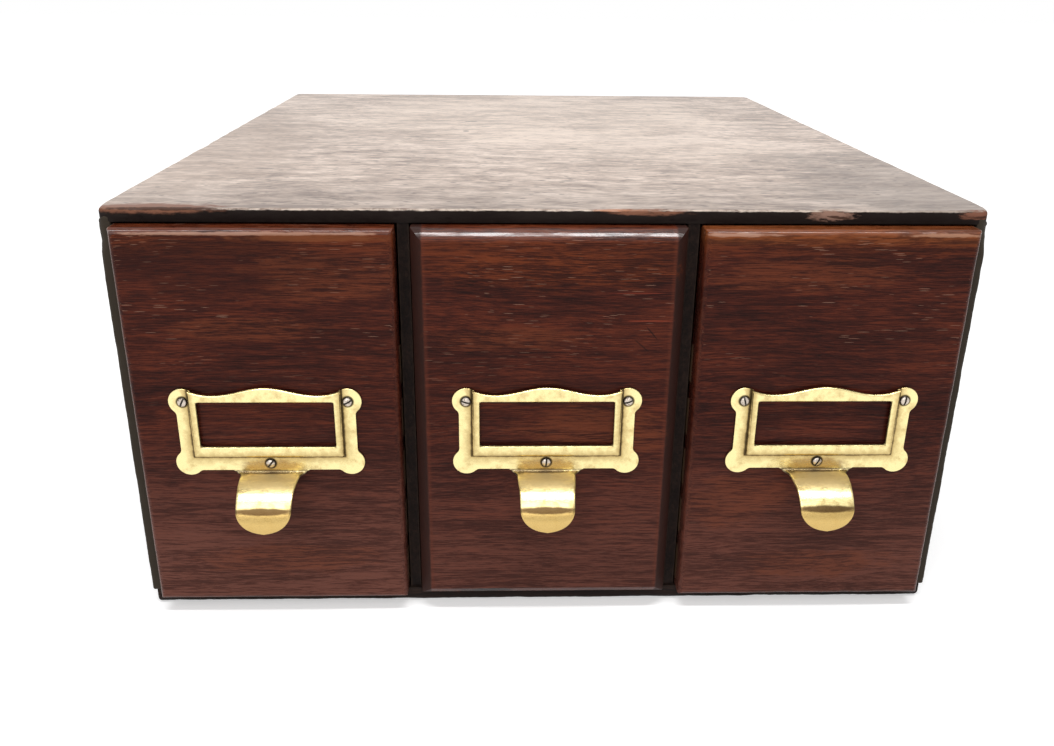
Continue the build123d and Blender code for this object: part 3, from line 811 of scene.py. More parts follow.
@dataclass
class LabelHolder:
    """The stamped brass label holder of one drawer, with the finger pull curled out of its foot.

    Sizes are in millimetres from the centre of the card window: X right, Z up, depth outwards.
    """

    bay: Bay
    window_width: float = 60.0
    window_height: float = 21.6
    sheet: float = 1.2
    label_depth: float = 1.6
    bezel_side: float = 3.4
    bezel_foot_width: float = 5.1
    bezel_top_width: float = 3.2
    bezel_corner: float = 1.2
    bezel_rounding: float = 0.95
    cove: float = 0.5
    flange: float = 6.0
    flange_foot: float = 7.0
    lobe_radius: float = 6.2
    lobe_inset: float = 3.3
    lobe_foot_inset: float = 3.9
    lobe_blend: float = 2.5
    hollow: float = 24.0
    crest_rise: float = 3.6
    crest_half_width: float = 22.8
    rounding: float = 0.35
    shelf_drop: float = 1.0
    shelf_length: float = 7.0
    root_half_width: float = 17.5
    neck_half_width: float = 13.1
    neck_run: float = 5.5
    shoulder_radius: float = 7.5
    fold_radius: float = 0.8
    curl_radius: float = 17.0
    taper_share: float = 0.75
    lip_half_width: float = 12.1
    lip_length: float = 1.3
    lip_end: float = 10.3
    crown: float = 0.3

    def __post_init__(self) -> None:
        """Works out the places that the sizes give."""
        self.node = f"{self.bay.value}_label_holder"
        self.plate_half_width = self.window_width / 2 + self.bezel_side + self.flange
        self.bezel_half_width = self.window_width / 2 + self.bezel_side
        self.mouth = self.bezel_half_width - self.sheet
        self.plate_top = self.window_height / 2 + self.bezel_top_width
        self.bezel_foot = -self.window_height / 2 - self.bezel_foot_width
        self.plate_foot = self.bezel_foot - self.flange_foot
        self.bezel_depth = self.label_depth + self.sheet
        self.shelf = self.plate_foot - self.shelf_drop
        low, high = (Vector(corner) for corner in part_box(self.node))
        self.centre = Vector(((low.x + high.x) / 2, high.y,
                              high.z - (self.plate_top + self.crest_rise) * MM))

    def screw_places(self) -> list[Spot]:
        """Returns the places of the three screws, across and up."""
        across = self.plate_half_width - self.lobe_inset
        up = self.plate_top - self.lobe_inset
        return [(-across, up), (across, up), (0.0, (self.bezel_foot + self.plate_foot) / 2)]

    def place(self, across: float, out: float, up: float) -> Vector:
        """Returns a point of the holder in the frame, in metres."""
        return self.centre + Vector((across, -out, up)) * MM

    def blend(self, inset: float, radius: float) -> Spot:
        """Returns how far a blend's centre lies from its lobe's, along the edge and across it."""
        across = inset + radius
        return math.sqrt((self.lobe_radius + radius) ** 2 - across ** 2), across

    def lobe(self, right: int, top: int) -> list[Spot]:
        """Returns one corner's outline, anticlockwise: the round lobe between its two blends.

        Args:
            right: 1 for the right side and -1 for the left.
            top: 1 for the upper edge and -1 for the lower.

        Returns:
            The points.
        """
        inset, radius = ((self.lobe_inset, self.hollow) if top > 0
                         else (self.lobe_foot_inset, self.lobe_blend))
        edge = self.plate_top if top > 0 else -self.plate_foot
        centre = (self.plate_half_width - self.lobe_inset, edge - inset)
        side_run, side_rise = self.blend(self.lobe_inset, self.lobe_blend)
        edge_run, edge_rise = self.blend(inset, radius)
        side_tilt, edge_tilt = math.atan2(side_run, side_rise), math.atan2(edge_rise, edge_run)
        edge_centre = (centre[0] - edge_run, centre[1] + edge_rise)
        last = -RIGHT_ANGLE if top < 0 else -math.acos((self.mouth - edge_centre[0]) / radius)
        points = arc((centre[0] + side_rise, centre[1] - side_run), self.lobe_blend, math.pi,
                     math.pi - side_tilt, 5)[:-1]
        points += arc(centre, self.lobe_radius, -side_tilt, math.pi - edge_tilt, 30)
        points += arc(edge_centre, radius, -edge_tilt, last, 5)[1:]
        if right * top < 0:
            points.reverse()
        return [(right * across, top * up) for across, up in points]

    def top_line(self, across: float) -> float:
        """Returns the height of the top edge at a place across it: a crest between two hollows."""
        reach = abs(across)
        if reach < self.crest_half_width:
            wave = 1 + math.cos(math.pi * reach / self.crest_half_width)
            return self.plate_top + self.crest_rise / 2 * wave
        start = self.plate_half_width - self.lobe_inset - self.blend(self.lobe_inset, self.hollow)[0]
        past = max(reach - start, 0.0)
        return self.plate_top + self.hollow - math.sqrt(self.hollow ** 2 - past ** 2)

    def plate(self, name: str, loops: list[tuple[EdgeLoop, float]], front: float,
              thickness: float) -> bpy.types.Object:
        """Makes a flat plate with rounded edges and holes.

        Args:
            name: the object's name.
            loops: the outline and then its holes, each with the radius of its edge.
            front: how far the plate's front stands out from the wood.
            thickness: the plate's thickness.

        Returns:
            The plate as a new object.
        """
        vertices, faces, ends = [], [], ([], [])
        turns, margin = 4, 0.15
        for loop, rounding in loops:
            profile = [(rounding + margin, 0.0)]
            profile += [(rounding * (1 - math.sin(RIGHT_ANGLE * turn / turns)),
                         rounding * (1 - math.cos(RIGHT_ANGLE * turn / turns)))
                        for turn in range(turns + 1)]
            profile += [(0.0, thickness), (margin, thickness)]
            rows = []
            for inset, depth in profile:
                rows.append(list(range(len(vertices), len(vertices) + len(loop.points))))
                vertices += [self.place(u, front - depth, v) for u, v in loop.inset(inset)]
            faces += skin(rows)
            ends[0].append(rows[0])
            ends[1].append(rows[-1])
        for rings in ends:
            numbers = [number for ring in rings for number in ring]
            flat = [[Vector((vertices[number].x, vertices[number].z, 0.0)) for number in ring]
                    for ring in rings]
            faces += [tuple(numbers[corner] for corner in triangle)
                      for triangle in tessellate_polygon(flat)]
        return finish_mesh(name, vertices, faces)

    def build_flange(self) -> bpy.types.Object:
        """Returns the flat flange: lobes, side bars and foot round the open label pocket."""
        floor = self.bezel_foot + self.sheet
        outline = [*self.lobe(1, -1), *self.lobe(1, 1), (self.mouth, floor), (-self.mouth, floor),
                   *self.lobe(-1, 1), *self.lobe(-1, -1)]
        holes = [(EdgeLoop(arc(place, 1.5, 2 * math.pi, 0.0, 20)[:-1]), 0.15)
                 for place in self.screw_places()]
        return self.plate("flange", [(EdgeLoop(outline), self.rounding), *holes], self.sheet, self.sheet)

    def build_walls(self) -> bpy.types.Object:
        """Returns the walls of the label pocket, left, right and below."""
        outer, inner = self.bezel_half_width, self.mouth
        foot, floor, top = self.bezel_foot, self.bezel_foot + self.sheet, self.top_line(self.mouth)
        outline = [(-outer, top), (-outer, foot), (outer, foot), (outer, top),
                   (inner, top), (inner, floor), (-inner, floor), (-inner, top)]
        return self.plate("pocket_walls", [(EdgeLoop(outline), 0.1)], self.label_depth + 0.2,
                          self.label_depth)

    def pocket_outline(self) -> list[Spot]:
        """Returns the bezel's outline down its left side, along its foot and up its right side."""
        outer, corner = self.bezel_half_width, self.bezel_corner
        top = self.top_line(outer)
        outline = [(-outer, top)]
        outline += arc((corner - outer, self.bezel_foot + corner), corner, -math.pi, -RIGHT_ANGLE, 5)
        outline += arc((outer - corner, self.bezel_foot + corner), corner, -RIGHT_ANGLE, 0.0, 5)
        return [*outline, (outer, top)]

    def build_bezel(self) -> bpy.types.Object:
        """Returns the raised bezel with its crest and its window."""
        steps = 90
        outline = self.pocket_outline()
        for step in range(1, steps):
            across = self.bezel_half_width * (1 - 2 * step / steps)
            outline.append((across, self.top_line(across)))
        half_width, half_height, radius = self.window_width / 2, self.window_height / 2, 1.0
        window = []
        for quarter, (right, up) in enumerate(((1, 1), (-1, 1), (-1, -1), (1, -1))):
            window += arc((right * (half_width - radius), up * (half_height - radius)), radius,
                          quarter * RIGHT_ANGLE, (quarter + 1) * RIGHT_ANGLE, 5)
        window.reverse()
        return self.plate("bezel", [(EdgeLoop(outline), self.bezel_rounding), (EdgeLoop(window), 0.7)],
                          self.bezel_depth, self.sheet)

    def build_cove(self) -> bpy.types.Object:
        """Returns the cove that eases the bezel's sides and foot into the flange."""
        path = self.pocket_outline()
        loop = EdgeLoop(path)
        loop.normals[0], loop.normals[-1] = (-1.0, 0.0), (1.0, 0.0)
        below, behind = self.sheet - 0.3, -0.2
        section = [(self.cove + away, self.sheet + self.cove + out)
                   for away, out in arc((0.0, 0.0), self.cove, math.pi, 1.5 * math.pi, 5)]
        section += [(self.cove, below), (behind, below), (behind, self.sheet + self.cove)]
        vertices, rows = [], []
        for away, out in section:
            rows.append(list(range(len(vertices), len(vertices) + len(path))))
            vertices += [self.place(u, out, v) for u, v in loop.inset(-away)]
        faces = skin([*rows, rows[0]], closed=False)
        faces += [tuple(row[0] for row in rows), tuple(row[-1] for row in rows)]
        return finish_mesh("cove", vertices, faces)

    def half_width_at(self, out: float, up: float) -> float:
        """Returns half the tongue's width at a point of its side profile.

        Args:
            out: the distance out from the wood.
            up: the height, from the window's centre.

        Returns:
            Half the width there.
        """
        run = out - self.sheet
        taper_end = self.shelf_length + self.taper_share * self.curl_radius
        fold = min(max(self.plate_foot - up, 0.0), self.shelf_drop + self.sheet / 2)
        if run < self.neck_run:
            run = min(max(run, 0.0) + fold, self.neck_run)
            drop = self.root_half_width - self.neck_half_width
            chord = math.hypot(drop, self.neck_run)
            sagitta = math.sqrt(self.shoulder_radius ** 2 - chord ** 2 / 4)
            middle = Vector((self.root_half_width - drop / 2, self.neck_run / 2))
            centre = middle + Vector((self.neck_run, drop)).normalized() * sagitta
            half = centre.x - math.sqrt(max(self.shoulder_radius ** 2 - (run - centre.y) ** 2, 0.0))
        else:
            share = min((run - self.neck_run) / (taper_end - self.neck_run), 1.0)
            half = self.neck_half_width + (self.lip_half_width - self.neck_half_width) * share
        rise = up - (self.shelf - self.curl_radius - self.lip_length)
        if rise < self.lip_end and out > self.shelf_length + self.curl_radius / 2:
            share = 1 - rise / self.lip_end
            half = min(half, self.lip_half_width * math.sqrt(max(1 - share ** 2, 0.0)))
        return max(half, 0.05)

    def tongue_line(self) -> list[Spot]:
        """Returns the middle of the tongue's sheet from its root to its tip, outwards and up."""
        middle = self.sheet / 2
        sunk = 0.02
        fold = (self.sheet + self.fold_radius - sunk, self.shelf + self.fold_radius)
        curl = (self.sheet + self.shelf_length, self.shelf - self.curl_radius)
        line = [(middle - sunk, self.plate_foot + 1.5), (middle - sunk, self.plate_foot + 0.2)]
        line += arc(fold, self.fold_radius + middle, math.pi, math.pi + RIGHT_ANGLE, 6)
        steps, start = 14, line[-1][0]
        line += [(start + (curl[0] - start) * step / steps, self.shelf - middle)
                 for step in range(1, steps)]
        line += arc(curl, self.curl_radius - middle, RIGHT_ANGLE, 0.0, 44)
        shares = (0.25, 0.5, 0.7, 0.85, 0.94, 0.985, 0.998)
        line += [(line[-1][0], curl[1] - self.lip_length * share) for share in shares]
        return line

    def build_tongue(self) -> bpy.types.Object:
        """Returns the tongue: a bent strip with rounded edges, crowned a little across."""
        line = [Vector(spot) for spot in self.tongue_line()]
        columns = 16
        vertices, rings = [], []
        for index, spot in enumerate(line):
            along = (line[min(index + 1, len(line) - 1)] - line[max(index - 1, 0)]).normalized()
            outwards = Vector((-along.y, along.x))
            half = self.half_width_at(*spot)
            crowned = self.crown * smooth((spot.x - self.sheet - self.neck_run) / self.neck_run)
            ring = []
            for face in (1, -1):
                for column in range(columns + 1):
                    share = face * math.sin(RIGHT_ANGLE * (2 * column / columns - 1))
                    past = max(0.0, (abs(share) * half - (half - self.rounding)) / self.rounding)
                    edge = self.rounding * (1 - math.sqrt(max(0.0, 1 - past ** 2)))
                    lift = face * (self.sheet / 2 - edge) - crowned * share ** 2
                    point = spot + outwards * lift
                    ring.append(len(vertices))
                    vertices.append(self.place(share * half, point.x, point.y))
            rings.append(ring)
        faces = [tuple(rings[0]), tuple(rings[-1]), *skin(rings)]
        return finish_mesh("tongue", vertices, faces, 60.0)

    def build(self, effects: EffectLibrary) -> bpy.types.Object:
        """Makes the whole label holder in place of its CAD node.

        Args:
            effects: the shared node groups.

        Returns:
            The finished object.
        """
        shells = [self.build_flange(), self.build_walls(), self.build_bezel(), self.build_cove(),
                  self.build_tongue()]
        holder = shells[0]
        with bpy.context.temp_override(active_object=holder, selected_editable_objects=shells):
            bpy.ops.object.join()
        holder.name = self.node + "_brass"
        holder.data.materials.append(BrassFinish().material(self, effects))
        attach(holder, f"{self.bay.value}_drawer")
        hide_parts(self.node)
        return holder


class ScrewSet:
    """The three slotted screws of a label holder, set out by geometry nodes."""

    head_radius = 2.3
    head_rise = 1.5
    shank_radius = 1.2
    length = 12.0
    slot_width = 0.8
    slot_depth = 0.85

    def __init__(self) -> None:
        """Makes the screw's blank and the tree that cuts and places it."""
        self.blank = self.build_blank()
        self.tree = self.build_tree()

    def build_blank(self) -> bpy.types.Object:
        """Returns a screw without its slot, its head's seat at the origin and its head along Z."""
        sides, dome = 32, 8
        profile = [(self.head_radius * math.sin(RIGHT_ANGLE * step / dome),
                    self.head_rise * math.cos(RIGHT_ANGLE * step / dome)) for step in range(dome)]
        profile += [(self.head_radius, 0.12), (self.head_radius - 0.1, 0.0), (self.shank_radius, 0.0),
                    (self.shank_radius, 3.0 - self.length), (0.15, -self.length)]
        vertices = [Vector((radius * math.cos(2 * math.pi * side / sides),
                            radius * math.sin(2 * math.pi * side / sides), height)) * MM
                    for radius, height in profile for side in range(sides)]
        rows = [list(range(row * sides, (row + 1) * sides)) for row in range(len(profile))]
        faces = [tuple(rows[0]), tuple(rows[-1]), *skin(rows)]
        blank = finish_mesh("screw_blank", vertices, faces, 50.0)
        bpy.context.scene.collection.objects.unlink(blank)
        return blank

    def build_tree(self) -> bpy.types.NodeTree:
        """Returns the tree: two screws above and one below, each slot turned at random."""
        tree = bpy.data.node_groups.new("holder_screws", "GeometryNodeTree")
        tree.interface.new_socket("Geometry", in_out="INPUT", socket_type="NodeSocketGeometry")
        for name, kind in (("Blank", "Object"), ("Centre", "Vector"), ("Spacing", "Float"),
                           ("Rise", "Float"), ("Drop", "Float"), ("Slot Size", "Vector"),
                           ("Slot Height", "Float"), ("Seed", "Int"), ("Finish", "Material")):
            tree.interface.new_socket(name, in_out="INPUT", socket_type="NodeSocket" + kind)
        tree.interface.new_socket("Geometry", in_out="OUTPUT", socket_type="NodeSocketGeometry")
        sheet = NodeSheet(tree)
        given, result = tree.nodes.new("NodeGroupInput").outputs, tree.nodes.new("NodeGroupOutput")

        def add(kind: str, inputs: dict, output: int | str = 0, **settings) -> bpy.types.NodeSocket:
            """Adds a geometry node with its inputs linked or set, and returns one of its outputs."""
            node = tree.nodes.new("GeometryNode" + kind)
            for name, value in settings.items():
                setattr(node, name, value)
            return sheet.fill(node, inputs).outputs[output]

        blank = add("ObjectInfo", {"Object": given["Blank"]}, "Geometry")
        cutter = add("MeshCube", {"Size": given["Slot Size"]}, "Mesh")
        raised = add("Transform", {"Geometry": cutter, "Translation": sheet.add(
            "CombineXYZ", {"Z": given["Slot Height"]})})
        slotted = add("MeshBoolean", {"Mesh 1": blank, "Mesh 2": raised}, "Mesh",
                      operation="DIFFERENCE", solver="EXACT")
        start = sheet.add("CombineXYZ", {"X": sheet.math("MULTIPLY", given["Spacing"], -0.5),
                                         "Z": given["Rise"]})
        pair = add("MeshLine", {"Count": 2, "Start Location": start,
                                "Offset": sheet.add("CombineXYZ", {"X": given["Spacing"]})})
        single = add("MeshLine", {"Count": 1, "Start Location": sheet.add(
            "CombineXYZ", {"Z": given["Drop"]})})
        places = add("JoinGeometry", {})
        tree.links.new(single, places.node.inputs[0])
        tree.links.new(pair, places.node.inputs[0])
        turn = tree.nodes.new("FunctionNodeRandomValue")
        turn.data_type = "FLOAT"
        sheet.fill(turn, {"Seed": given["Seed"], 3: math.pi})
        aim = sheet.add("CombineXYZ", {"X": RIGHT_ANGLE, "Y": turn.outputs[1]})
        seated = add("InstanceOnPoints", {"Points": places, "Instance": slotted, "Rotation": aim})
        solid = add("RealizeInstances", {"Geometry": seated})
        moved = add("Transform", {"Geometry": solid, "Translation": given["Centre"]})
        sheet.fill(result, {0: add("SetMaterial", {"Geometry": moved, "Material": given["Finish"]})})
        return tree

    def build(self, holder: LabelHolder, finish: bpy.types.Material, seed: int) -> bpy.types.Object:
        """Makes the screws of one label holder in place of their CAD node.

        Args:
            holder: the label holder that they hold.
            finish: the steel.
            seed: the seed of the slots' turns.

        Returns:
            The screws as one plain mesh object.
        """
        node = f"{holder.node}_screws"
        (left, top), (right, _), (_, bottom) = holder.screw_places()
        carrier = bpy.data.objects.new(node + "_steel", bpy.data.meshes.new("screw_carrier"))
        bpy.context.scene.collection.objects.link(carrier)
        modifier = carrier.modifiers.new("screws", "NODES")
        modifier.node_group = self.tree
        slot = (self.slot_width * MM, 3 * self.head_radius * MM, self.head_rise * MM)
        values = {"Blank": self.blank, "Centre": holder.place(0.0, holder.sheet, 0.0),
                  "Spacing": (right - left) * MM, "Rise": top * MM, "Drop": bottom * MM,
                  "Slot Size": slot, "Slot Height": (1.5 * self.head_rise - self.slot_depth) * MM,
                  "Seed": seed, "Finish": finish}
        for socket in self.tree.interface.items_tree:
            if socket.in_out == "INPUT" and socket.name in values:
                modifier[socket.identifier] = values[socket.name]
        graph = bpy.context.evaluated_depsgraph_get()
        mesh = bpy.data.meshes.new_from_object(carrier.evaluated_get(graph))
        carrier.modifiers.remove(modifier)
        mesh.name = node
        carrier.data = mesh
        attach(carrier, f"{holder.bay.value}_drawer")
        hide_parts(node)
        return carrier


# The cabinet's finishes

BARE = (0.205, 0.088, 0.053)
SOOT = (0.0080, 0.0046, 0.0042)
# The top's pale colours are a painted reflection: they stand in for the sheen of the varnish on dark wood.
TOP_PAINTED_SHEEN_FINISH = WoodFinish(
    slot="top_wood", dark=(0.17, 0.110, 0.083), middle=(0.51, 0.392, 0.320), light=(0.86, 0.71, 0.61),
    pore=(0.075, 0.050, 0.038), fleck_and_glint=(0.92, 0.78, 0.66), arris=(0.86, 0.72, 0.60), arris_width=1.7,
    arris_strength=0.95, fleck_and_glint_strength=0.5, fleck_glint_heights=(0.0, 1.0), pore_strength=0.85,
    roughness=(0.36, 0.50), specular=0.08, coat=0.42, coat_roughness=0.28, relief=0.06, coarseness=5.5)
SIDE_FINISH = WoodFinish(
    slot="case_wood", dark=(0.010, 0.0055, 0.004), middle=(0.026, 0.012, 0.0085),
    light=(0.060, 0.026, 0.017), pore=(0.005, 0.003, 0.0025), fleck_and_glint=(0.10, 0.06, 0.04),
    arris=(0.070, 0.042, 0.028), arris_width=1.6, arris_strength=0.5, roughness=(0.36, 0.52),
    specular=0.14, relief=0.08)
EDGE_FINISH = WoodFinish(
    slot="case_wood", dark=(0.0055, 0.0035, 0.003), middle=(0.014, 0.008, 0.0065),
    light=(0.034, 0.019, 0.014), pore=(0.003, 0.002, 0.002), fleck_and_glint=(0.08, 0.06, 0.04),
    arris=(0.055, 0.036, 0.025), arris_width=1.2, arris_strength=0.45, roughness=(0.42, 0.60),
    specular=0.1, relief=0.12)
FRONT_FINISH = WoodFinish(
    slot="front_wood", dark=(0.014, 0.0032, 0.0024), middle=(0.044, 0.0088, 0.0054),
    light=(0.115, 0.024, 0.0110), pore=(0.007, 0.002, 0.0015), fleck_and_glint=(0.34, 0.19, 0.13),
    arris=(0.13, 0.036, 0.018), arris_width=3.0, arris_strength=0.4, arris_coat=0.9,
    fleck_and_glint_strength=0.7, fleck_glint_heights=(105.0, 160.0), roughness=(0.22, 0.34), specular=0.08, relief=0.04)
BOX_FINISH = WoodFinish(
    slot="box_wood", dark=(0.17, 0.092, 0.044), middle=(0.25, 0.143, 0.070), light=(0.35, 0.215, 0.115),
    pore=(0.09, 0.050, 0.025), fleck_and_glint=(0.50, 0.36, 0.22), arris=(0.13, 0.070, 0.035), arris_width=1.5,
    arris_strength=0.35, roughness=(0.55, 0.75), specular=0.3, relief=0.05, coarseness=1.6)
FOLLOWER_FINISH = WoodFinish(
    slot="follower_wood", dark=(0.10, 0.040, 0.016), middle=(0.17, 0.075, 0.030),
    light=(0.26, 0.12, 0.050), pore=(0.05, 0.02, 0.01), fleck_and_glint=(0.45, 0.28, 0.15),
    arris=(0.32, 0.17, 0.08), arris_width=2.0, arris_strength=0.4, roughness=(0.35, 0.5),
    specular=0.35, relief=0.05)

TOP_MARKS = (
    # The next five marks are painted reflection: the top is painted lighter in the middle and towards the
    # back, and darker at the sides and towards the front.
    Patch((0.0, 90.0, CASE_TOP), (150.0, 150.0, 9.0), (0.86, 0.70, 0.58), 0.55, 1.6, 0.02, grained=0.5),
    Patch((70.0, -60.0, CASE_TOP), (80.0, 50.0, 9.0), (0.80, 0.65, 0.54), 0.4, 1.8, 0.03, grained=0.5),
    Patch((-170.0, -60.0, CASE_TOP), (40.0, 150.0, 9.0), (0.34, 0.24, 0.18), 0.35, 1.6, 0.03),
    Patch((200.0, -170.0, CASE_TOP), (90.0, 130.0, 9.0), (0.055, 0.036, 0.027), 0.42, 1.4, 0.03),
    Band(Axis.Y, -140.0, -218.0, (0.055, 0.036, 0.027), 0.3, 30.0, 0.03),
    *(Patch((x, y, CASE_TOP), (width, depth, 4.0), (0.060, 0.042, 0.036), 0.8, 1.0, 0.5)
      for x, y, width, depth in (
          (-40.0, 55.0, 5.0, 1.6), (-42.0, 8.0, 2.2, 2.6), (-30.0, 30.0, 4.0, 1.2),
          (-140.0, -130.0, 6.0, 1.2), (-128.0, -163.0, 4.0, 1.0), (12.0, -160.0, 4.0, 1.0),
          (88.0, 95.0, 2.0, 2.0), (118.0, -100.0, 3.0, 1.0), (126.0, -128.0, 4.0, 1.4),
          (22.0, -60.0, 3.0, 1.0), (-75.0, -95.0, 7.0, 0.8), (60.0, 20.0, 6.0, 0.8))),
    Patch((-112.0, -220.0, CASE_TOP), (30.0, 4.0, 2.0), (0.15, 0.10, 0.078), 0.6, 1.2, 0.15),
    Band(Axis.Z, 194.6, 194.1, SOOT, 0.98, 1.3, 0.25, 1.0),
    Patch((-168.0, -222.0, CASE_TOP), (34.0, 8.0, 2.6), BARE, 0.9, 1.3, 0.15, dulled=0.5),
    Patch((-160.0, -224.0, 194.6), (30.0, 3.0, 0.8), (0.045, 0.022, 0.015), 0.85, 1.6, 0.3),
    Patch((42.0, -225.0, 194.2), (19.0, 4.0, 1.9), BARE, 0.9, 1.3, 0.2, dulled=0.5, grained=0.8),
    Patch((30.0, CASE_FRONT, 194.8), (14.0, 2.0, 0.7), (0.42, 0.17, 0.085), 0.8, 1.2, 0.3),
    Patch((120.5, -225.0, 193.0), (11.0, 4.0, 2.5), (0.27, 0.155, 0.115), 0.9, 1.8, 0.3, dulled=0.5),
    Patch((123.5, -225.0, 192.0), (6.0, 4.0, 0.7), (0.05, 0.024, 0.016), 0.9, 1.5, 0.5, -0.1),
    Patch((185.0, -224.0, 193.0), (9.0, 6.0, 2.2), (0.20, 0.085, 0.055), 0.9, 1.8, 0.3, dulled=0.5),
    Patch((186.0, -224.0, 192.2), (6.0, 6.0, 0.6), (0.05, 0.022, 0.015), 0.85, 1.5, 0.5),
)
TOP_RUBS = (
    Rub((-168.0, CASE_FRONT, CASE_TOP), 32.0, 1.0),
    Rub((42.0, CASE_FRONT, CASE_TOP), 20.0, 1.0),
    Rub((121.5, CASE_FRONT, 193.5), 8.0, 2.6),
    Rub((185.0, CASE_FRONT, 194.0), 11.0, 1.6),
    Rub((-CASE_SIDE, -60.0, CASE_TOP), 12.0, 0.9),
)
# Painted shade: the drawer box's sides are painted darker towards the front, where they are seen in the
# shaded gaps beside the fronts.
BOX_GAP_SHADE = (Band(Axis.Y, -110.0, -185.0, (0.065, 0.034, 0.018), 0.75, 40.0, 0.03),)
SIDE_MARKS = (Band(Axis.Y, -219.0, -222.5, (0.036, 0.028, 0.019), 0.9, 2.5, 0.3, 0.6),)


@dataclass(frozen=True)
class FrontLook:
    """How one drawer's front is shaped, stained and painted with light and shade, in millimetres."""

    centre: float
    arris: float = 3.0
    flatness: float = 0.0
    waver: float = 0.15
    # Depth of the orange glow painted below the top arris.
    highlight_glow_depth: float = 6.0
    # Whether the upright bevels get painted shade.
    shaded_bevels: bool = False
    # How strongly the painted floor reflection lightens the lower part of the front.
    floor_sheen: float = 0.7
    coat: float = 0.5
    extra: tuple[Patch | Band, ...] = ()

    def marks(self) -> tuple[Patch | Band, ...]:
        """Returns the front's bands and patches, from the lowest to the topmost."""
        low, high = 14.0, 188.0
        marks = [
            # Painted reflection of the white floor: the front is painted lighter and greyer towards the
            # bottom.
            Band(Axis.Z, 110.0, low, (0.150, 0.056, 0.040), self.floor_sheen, 30.0, 0.05, grained=0.65),
            # Painted light: an orange glow painted just below the top arris, under its highlight.
            Band(Axis.Z, high - 2.5 * self.highlight_glow_depth, high - self.highlight_glow_depth / 2,
                 (0.20, 0.046, 0.012), 0.35, 8.0, 0.08, grained=0.8),
        ]
        if self.shaded_bevels:
            for side in (-1, 1):
                inner = self.centre + side * (FRONT_HALF_WIDTH - self.arris)
                marks.append(Band(Axis.X, inner - side * 2.0, inner - side * 0.4,
                                  (0.12, 0.030, 0.016), 0.35, 1.6, 0.3))
                # Painted shade: the upright bevels are painted nearly black, as if in shade; the band above
                # is the rubbed reddish line at their inner edge.
                marks.append(Band(Axis.X, inner - side * 0.3, inner + side * 0.9,
                                  (0.020, 0.010, 0.0085), 0.85, 1.0, 0.3, 0.7))
        return (*marks, *self.extra)


def ruddy(x: float, z: float, half_width: float, half_height: float, strength: float = 0.4,
          ragged: float = 1.6, colour: Colour = (0.155, 0.040, 0.016)) -> Patch:
    """Makes a place on a drawer's front where the wood glows through the varnish.

    Args:
        x: its centre across.
        z: its centre's height.
        half_width: half its width.
        half_height: half its height.
        strength: how much of the colour is mixed in.
        ragged: how ragged its edge is.
        colour: the colour.

    Returns:
        The patch.
    """
    return Patch((x, FRONT_FACE, z), (half_width, 6.0, half_height), colour, strength, ragged, 0.06,
                 grained=0.9)


SCRATCH = (0.010, 0.004, 0.003)
FRONT_LOOKS = {
    Bay.LEFT: FrontLook(-DRAWER_PITCH, floor_sheen=0.9, extra=(
        Patch((-140.0, FRONT_FACE, 172.0), (60.0, 6.0, 16.0), (0.022, 0.0045, 0.003), 0.45, 1.6, 0.05),
        # Painted highlight: a pale line along the top arris, with an orange edge below it towards the
        # right.
        Patch((-124.0, -232.8, 186.4), (62.0, 8.0, 0.8), (0.46, 0.25, 0.17), 0.6, 2.0, 0.12),
        Patch((-98.0, FRONT_FACE, 184.6), (34.0, 6.0, 1.6), (0.20, 0.062, 0.022), 0.6, 1.6, 0.08),
        ruddy(-90.0, 168.0, 40.0, 12.0),
        ruddy(-130.0, 145.0, 34.0, 6.0),
        ruddy(-120.0, 30.0, 45.0, 9.0, 0.5, 1.8),
        # Painted highlight: a pale line down the outer arris.
        Band(Axis.X, -182.3, -182.9, (0.34, 0.23, 0.19), 0.6, 0.7, 0.2))),
    Bay.MIDDLE: FrontLook(0.0, 5.2, 0.8, 0.15, 10.0, True, 0.6, 1.0, (
        ruddy(5.0, 170.0, 55.0, 9.0, 0.45, colour=(0.19, 0.042, 0.012)),
        ruddy(-20.0, 140.0, 36.0, 6.0),
        Patch((44.0, FRONT_FACE, 148.5), (12.0, 6.0, 0.5), (0.22, 0.04, 0.02), 0.7, 0.8, 0.1),
        Patch((38.0, FRONT_FACE, 161.0), (14.0, 6.0, 0.4), (0.20, 0.035, 0.018), 0.6, 0.8, 0.1),
        ruddy(20.0, 95.0, 38.0, 16.0, 0.5),
        Patch((-26.0, FRONT_FACE, 10.5), (15.0, 6.0, 2.2), (0.004, 0.003, 0.003), 0.95, 1.4, 0.15),
        Patch((45.0, FRONT_FACE, 143.0), (0.35, 6.0, 4.5), SCRATCH, 0.8, 0.6, 0.6, 0.7),
        Patch((41.0, FRONT_FACE, 137.0), (0.35, 6.0, 5.0), SCRATCH, 0.7, 0.6, 0.6, 0.85))),
    Bay.RIGHT: FrontLook(DRAWER_PITCH, waver=0.35, extra=(
        # Painted highlight: the top bevel is tinted orange and pale patches lie along the top arris.
        Band(Axis.Z, 180.5, 186.0, (0.26, 0.075, 0.022), 0.65, 9.0, 0.08, grained=0.6),
        Patch((80.0, -232.8, 186.4), (18.0, 8.0, 0.9), (0.48, 0.27, 0.19), 0.6, 1.8, 0.15),
        Patch((168.0, -232.8, 186.4), (16.0, 8.0, 0.9), (0.46, 0.24, 0.15), 0.6, 1.8, 0.15),
        ruddy(110.0, 170.0, 45.0, 9.0),
        ruddy(90.0, 60.0, 26.0, 14.0, 0.4, 1.8),
        ruddy(130.0, 26.0, 40.0, 8.0, 0.5, 1.8),
        # Painted highlight: a pale line down the outer arris.
        Band(Axis.X, 182.3, 182.9, (0.34, 0.23, 0.19), 0.5, 0.7, 0.2))),
}


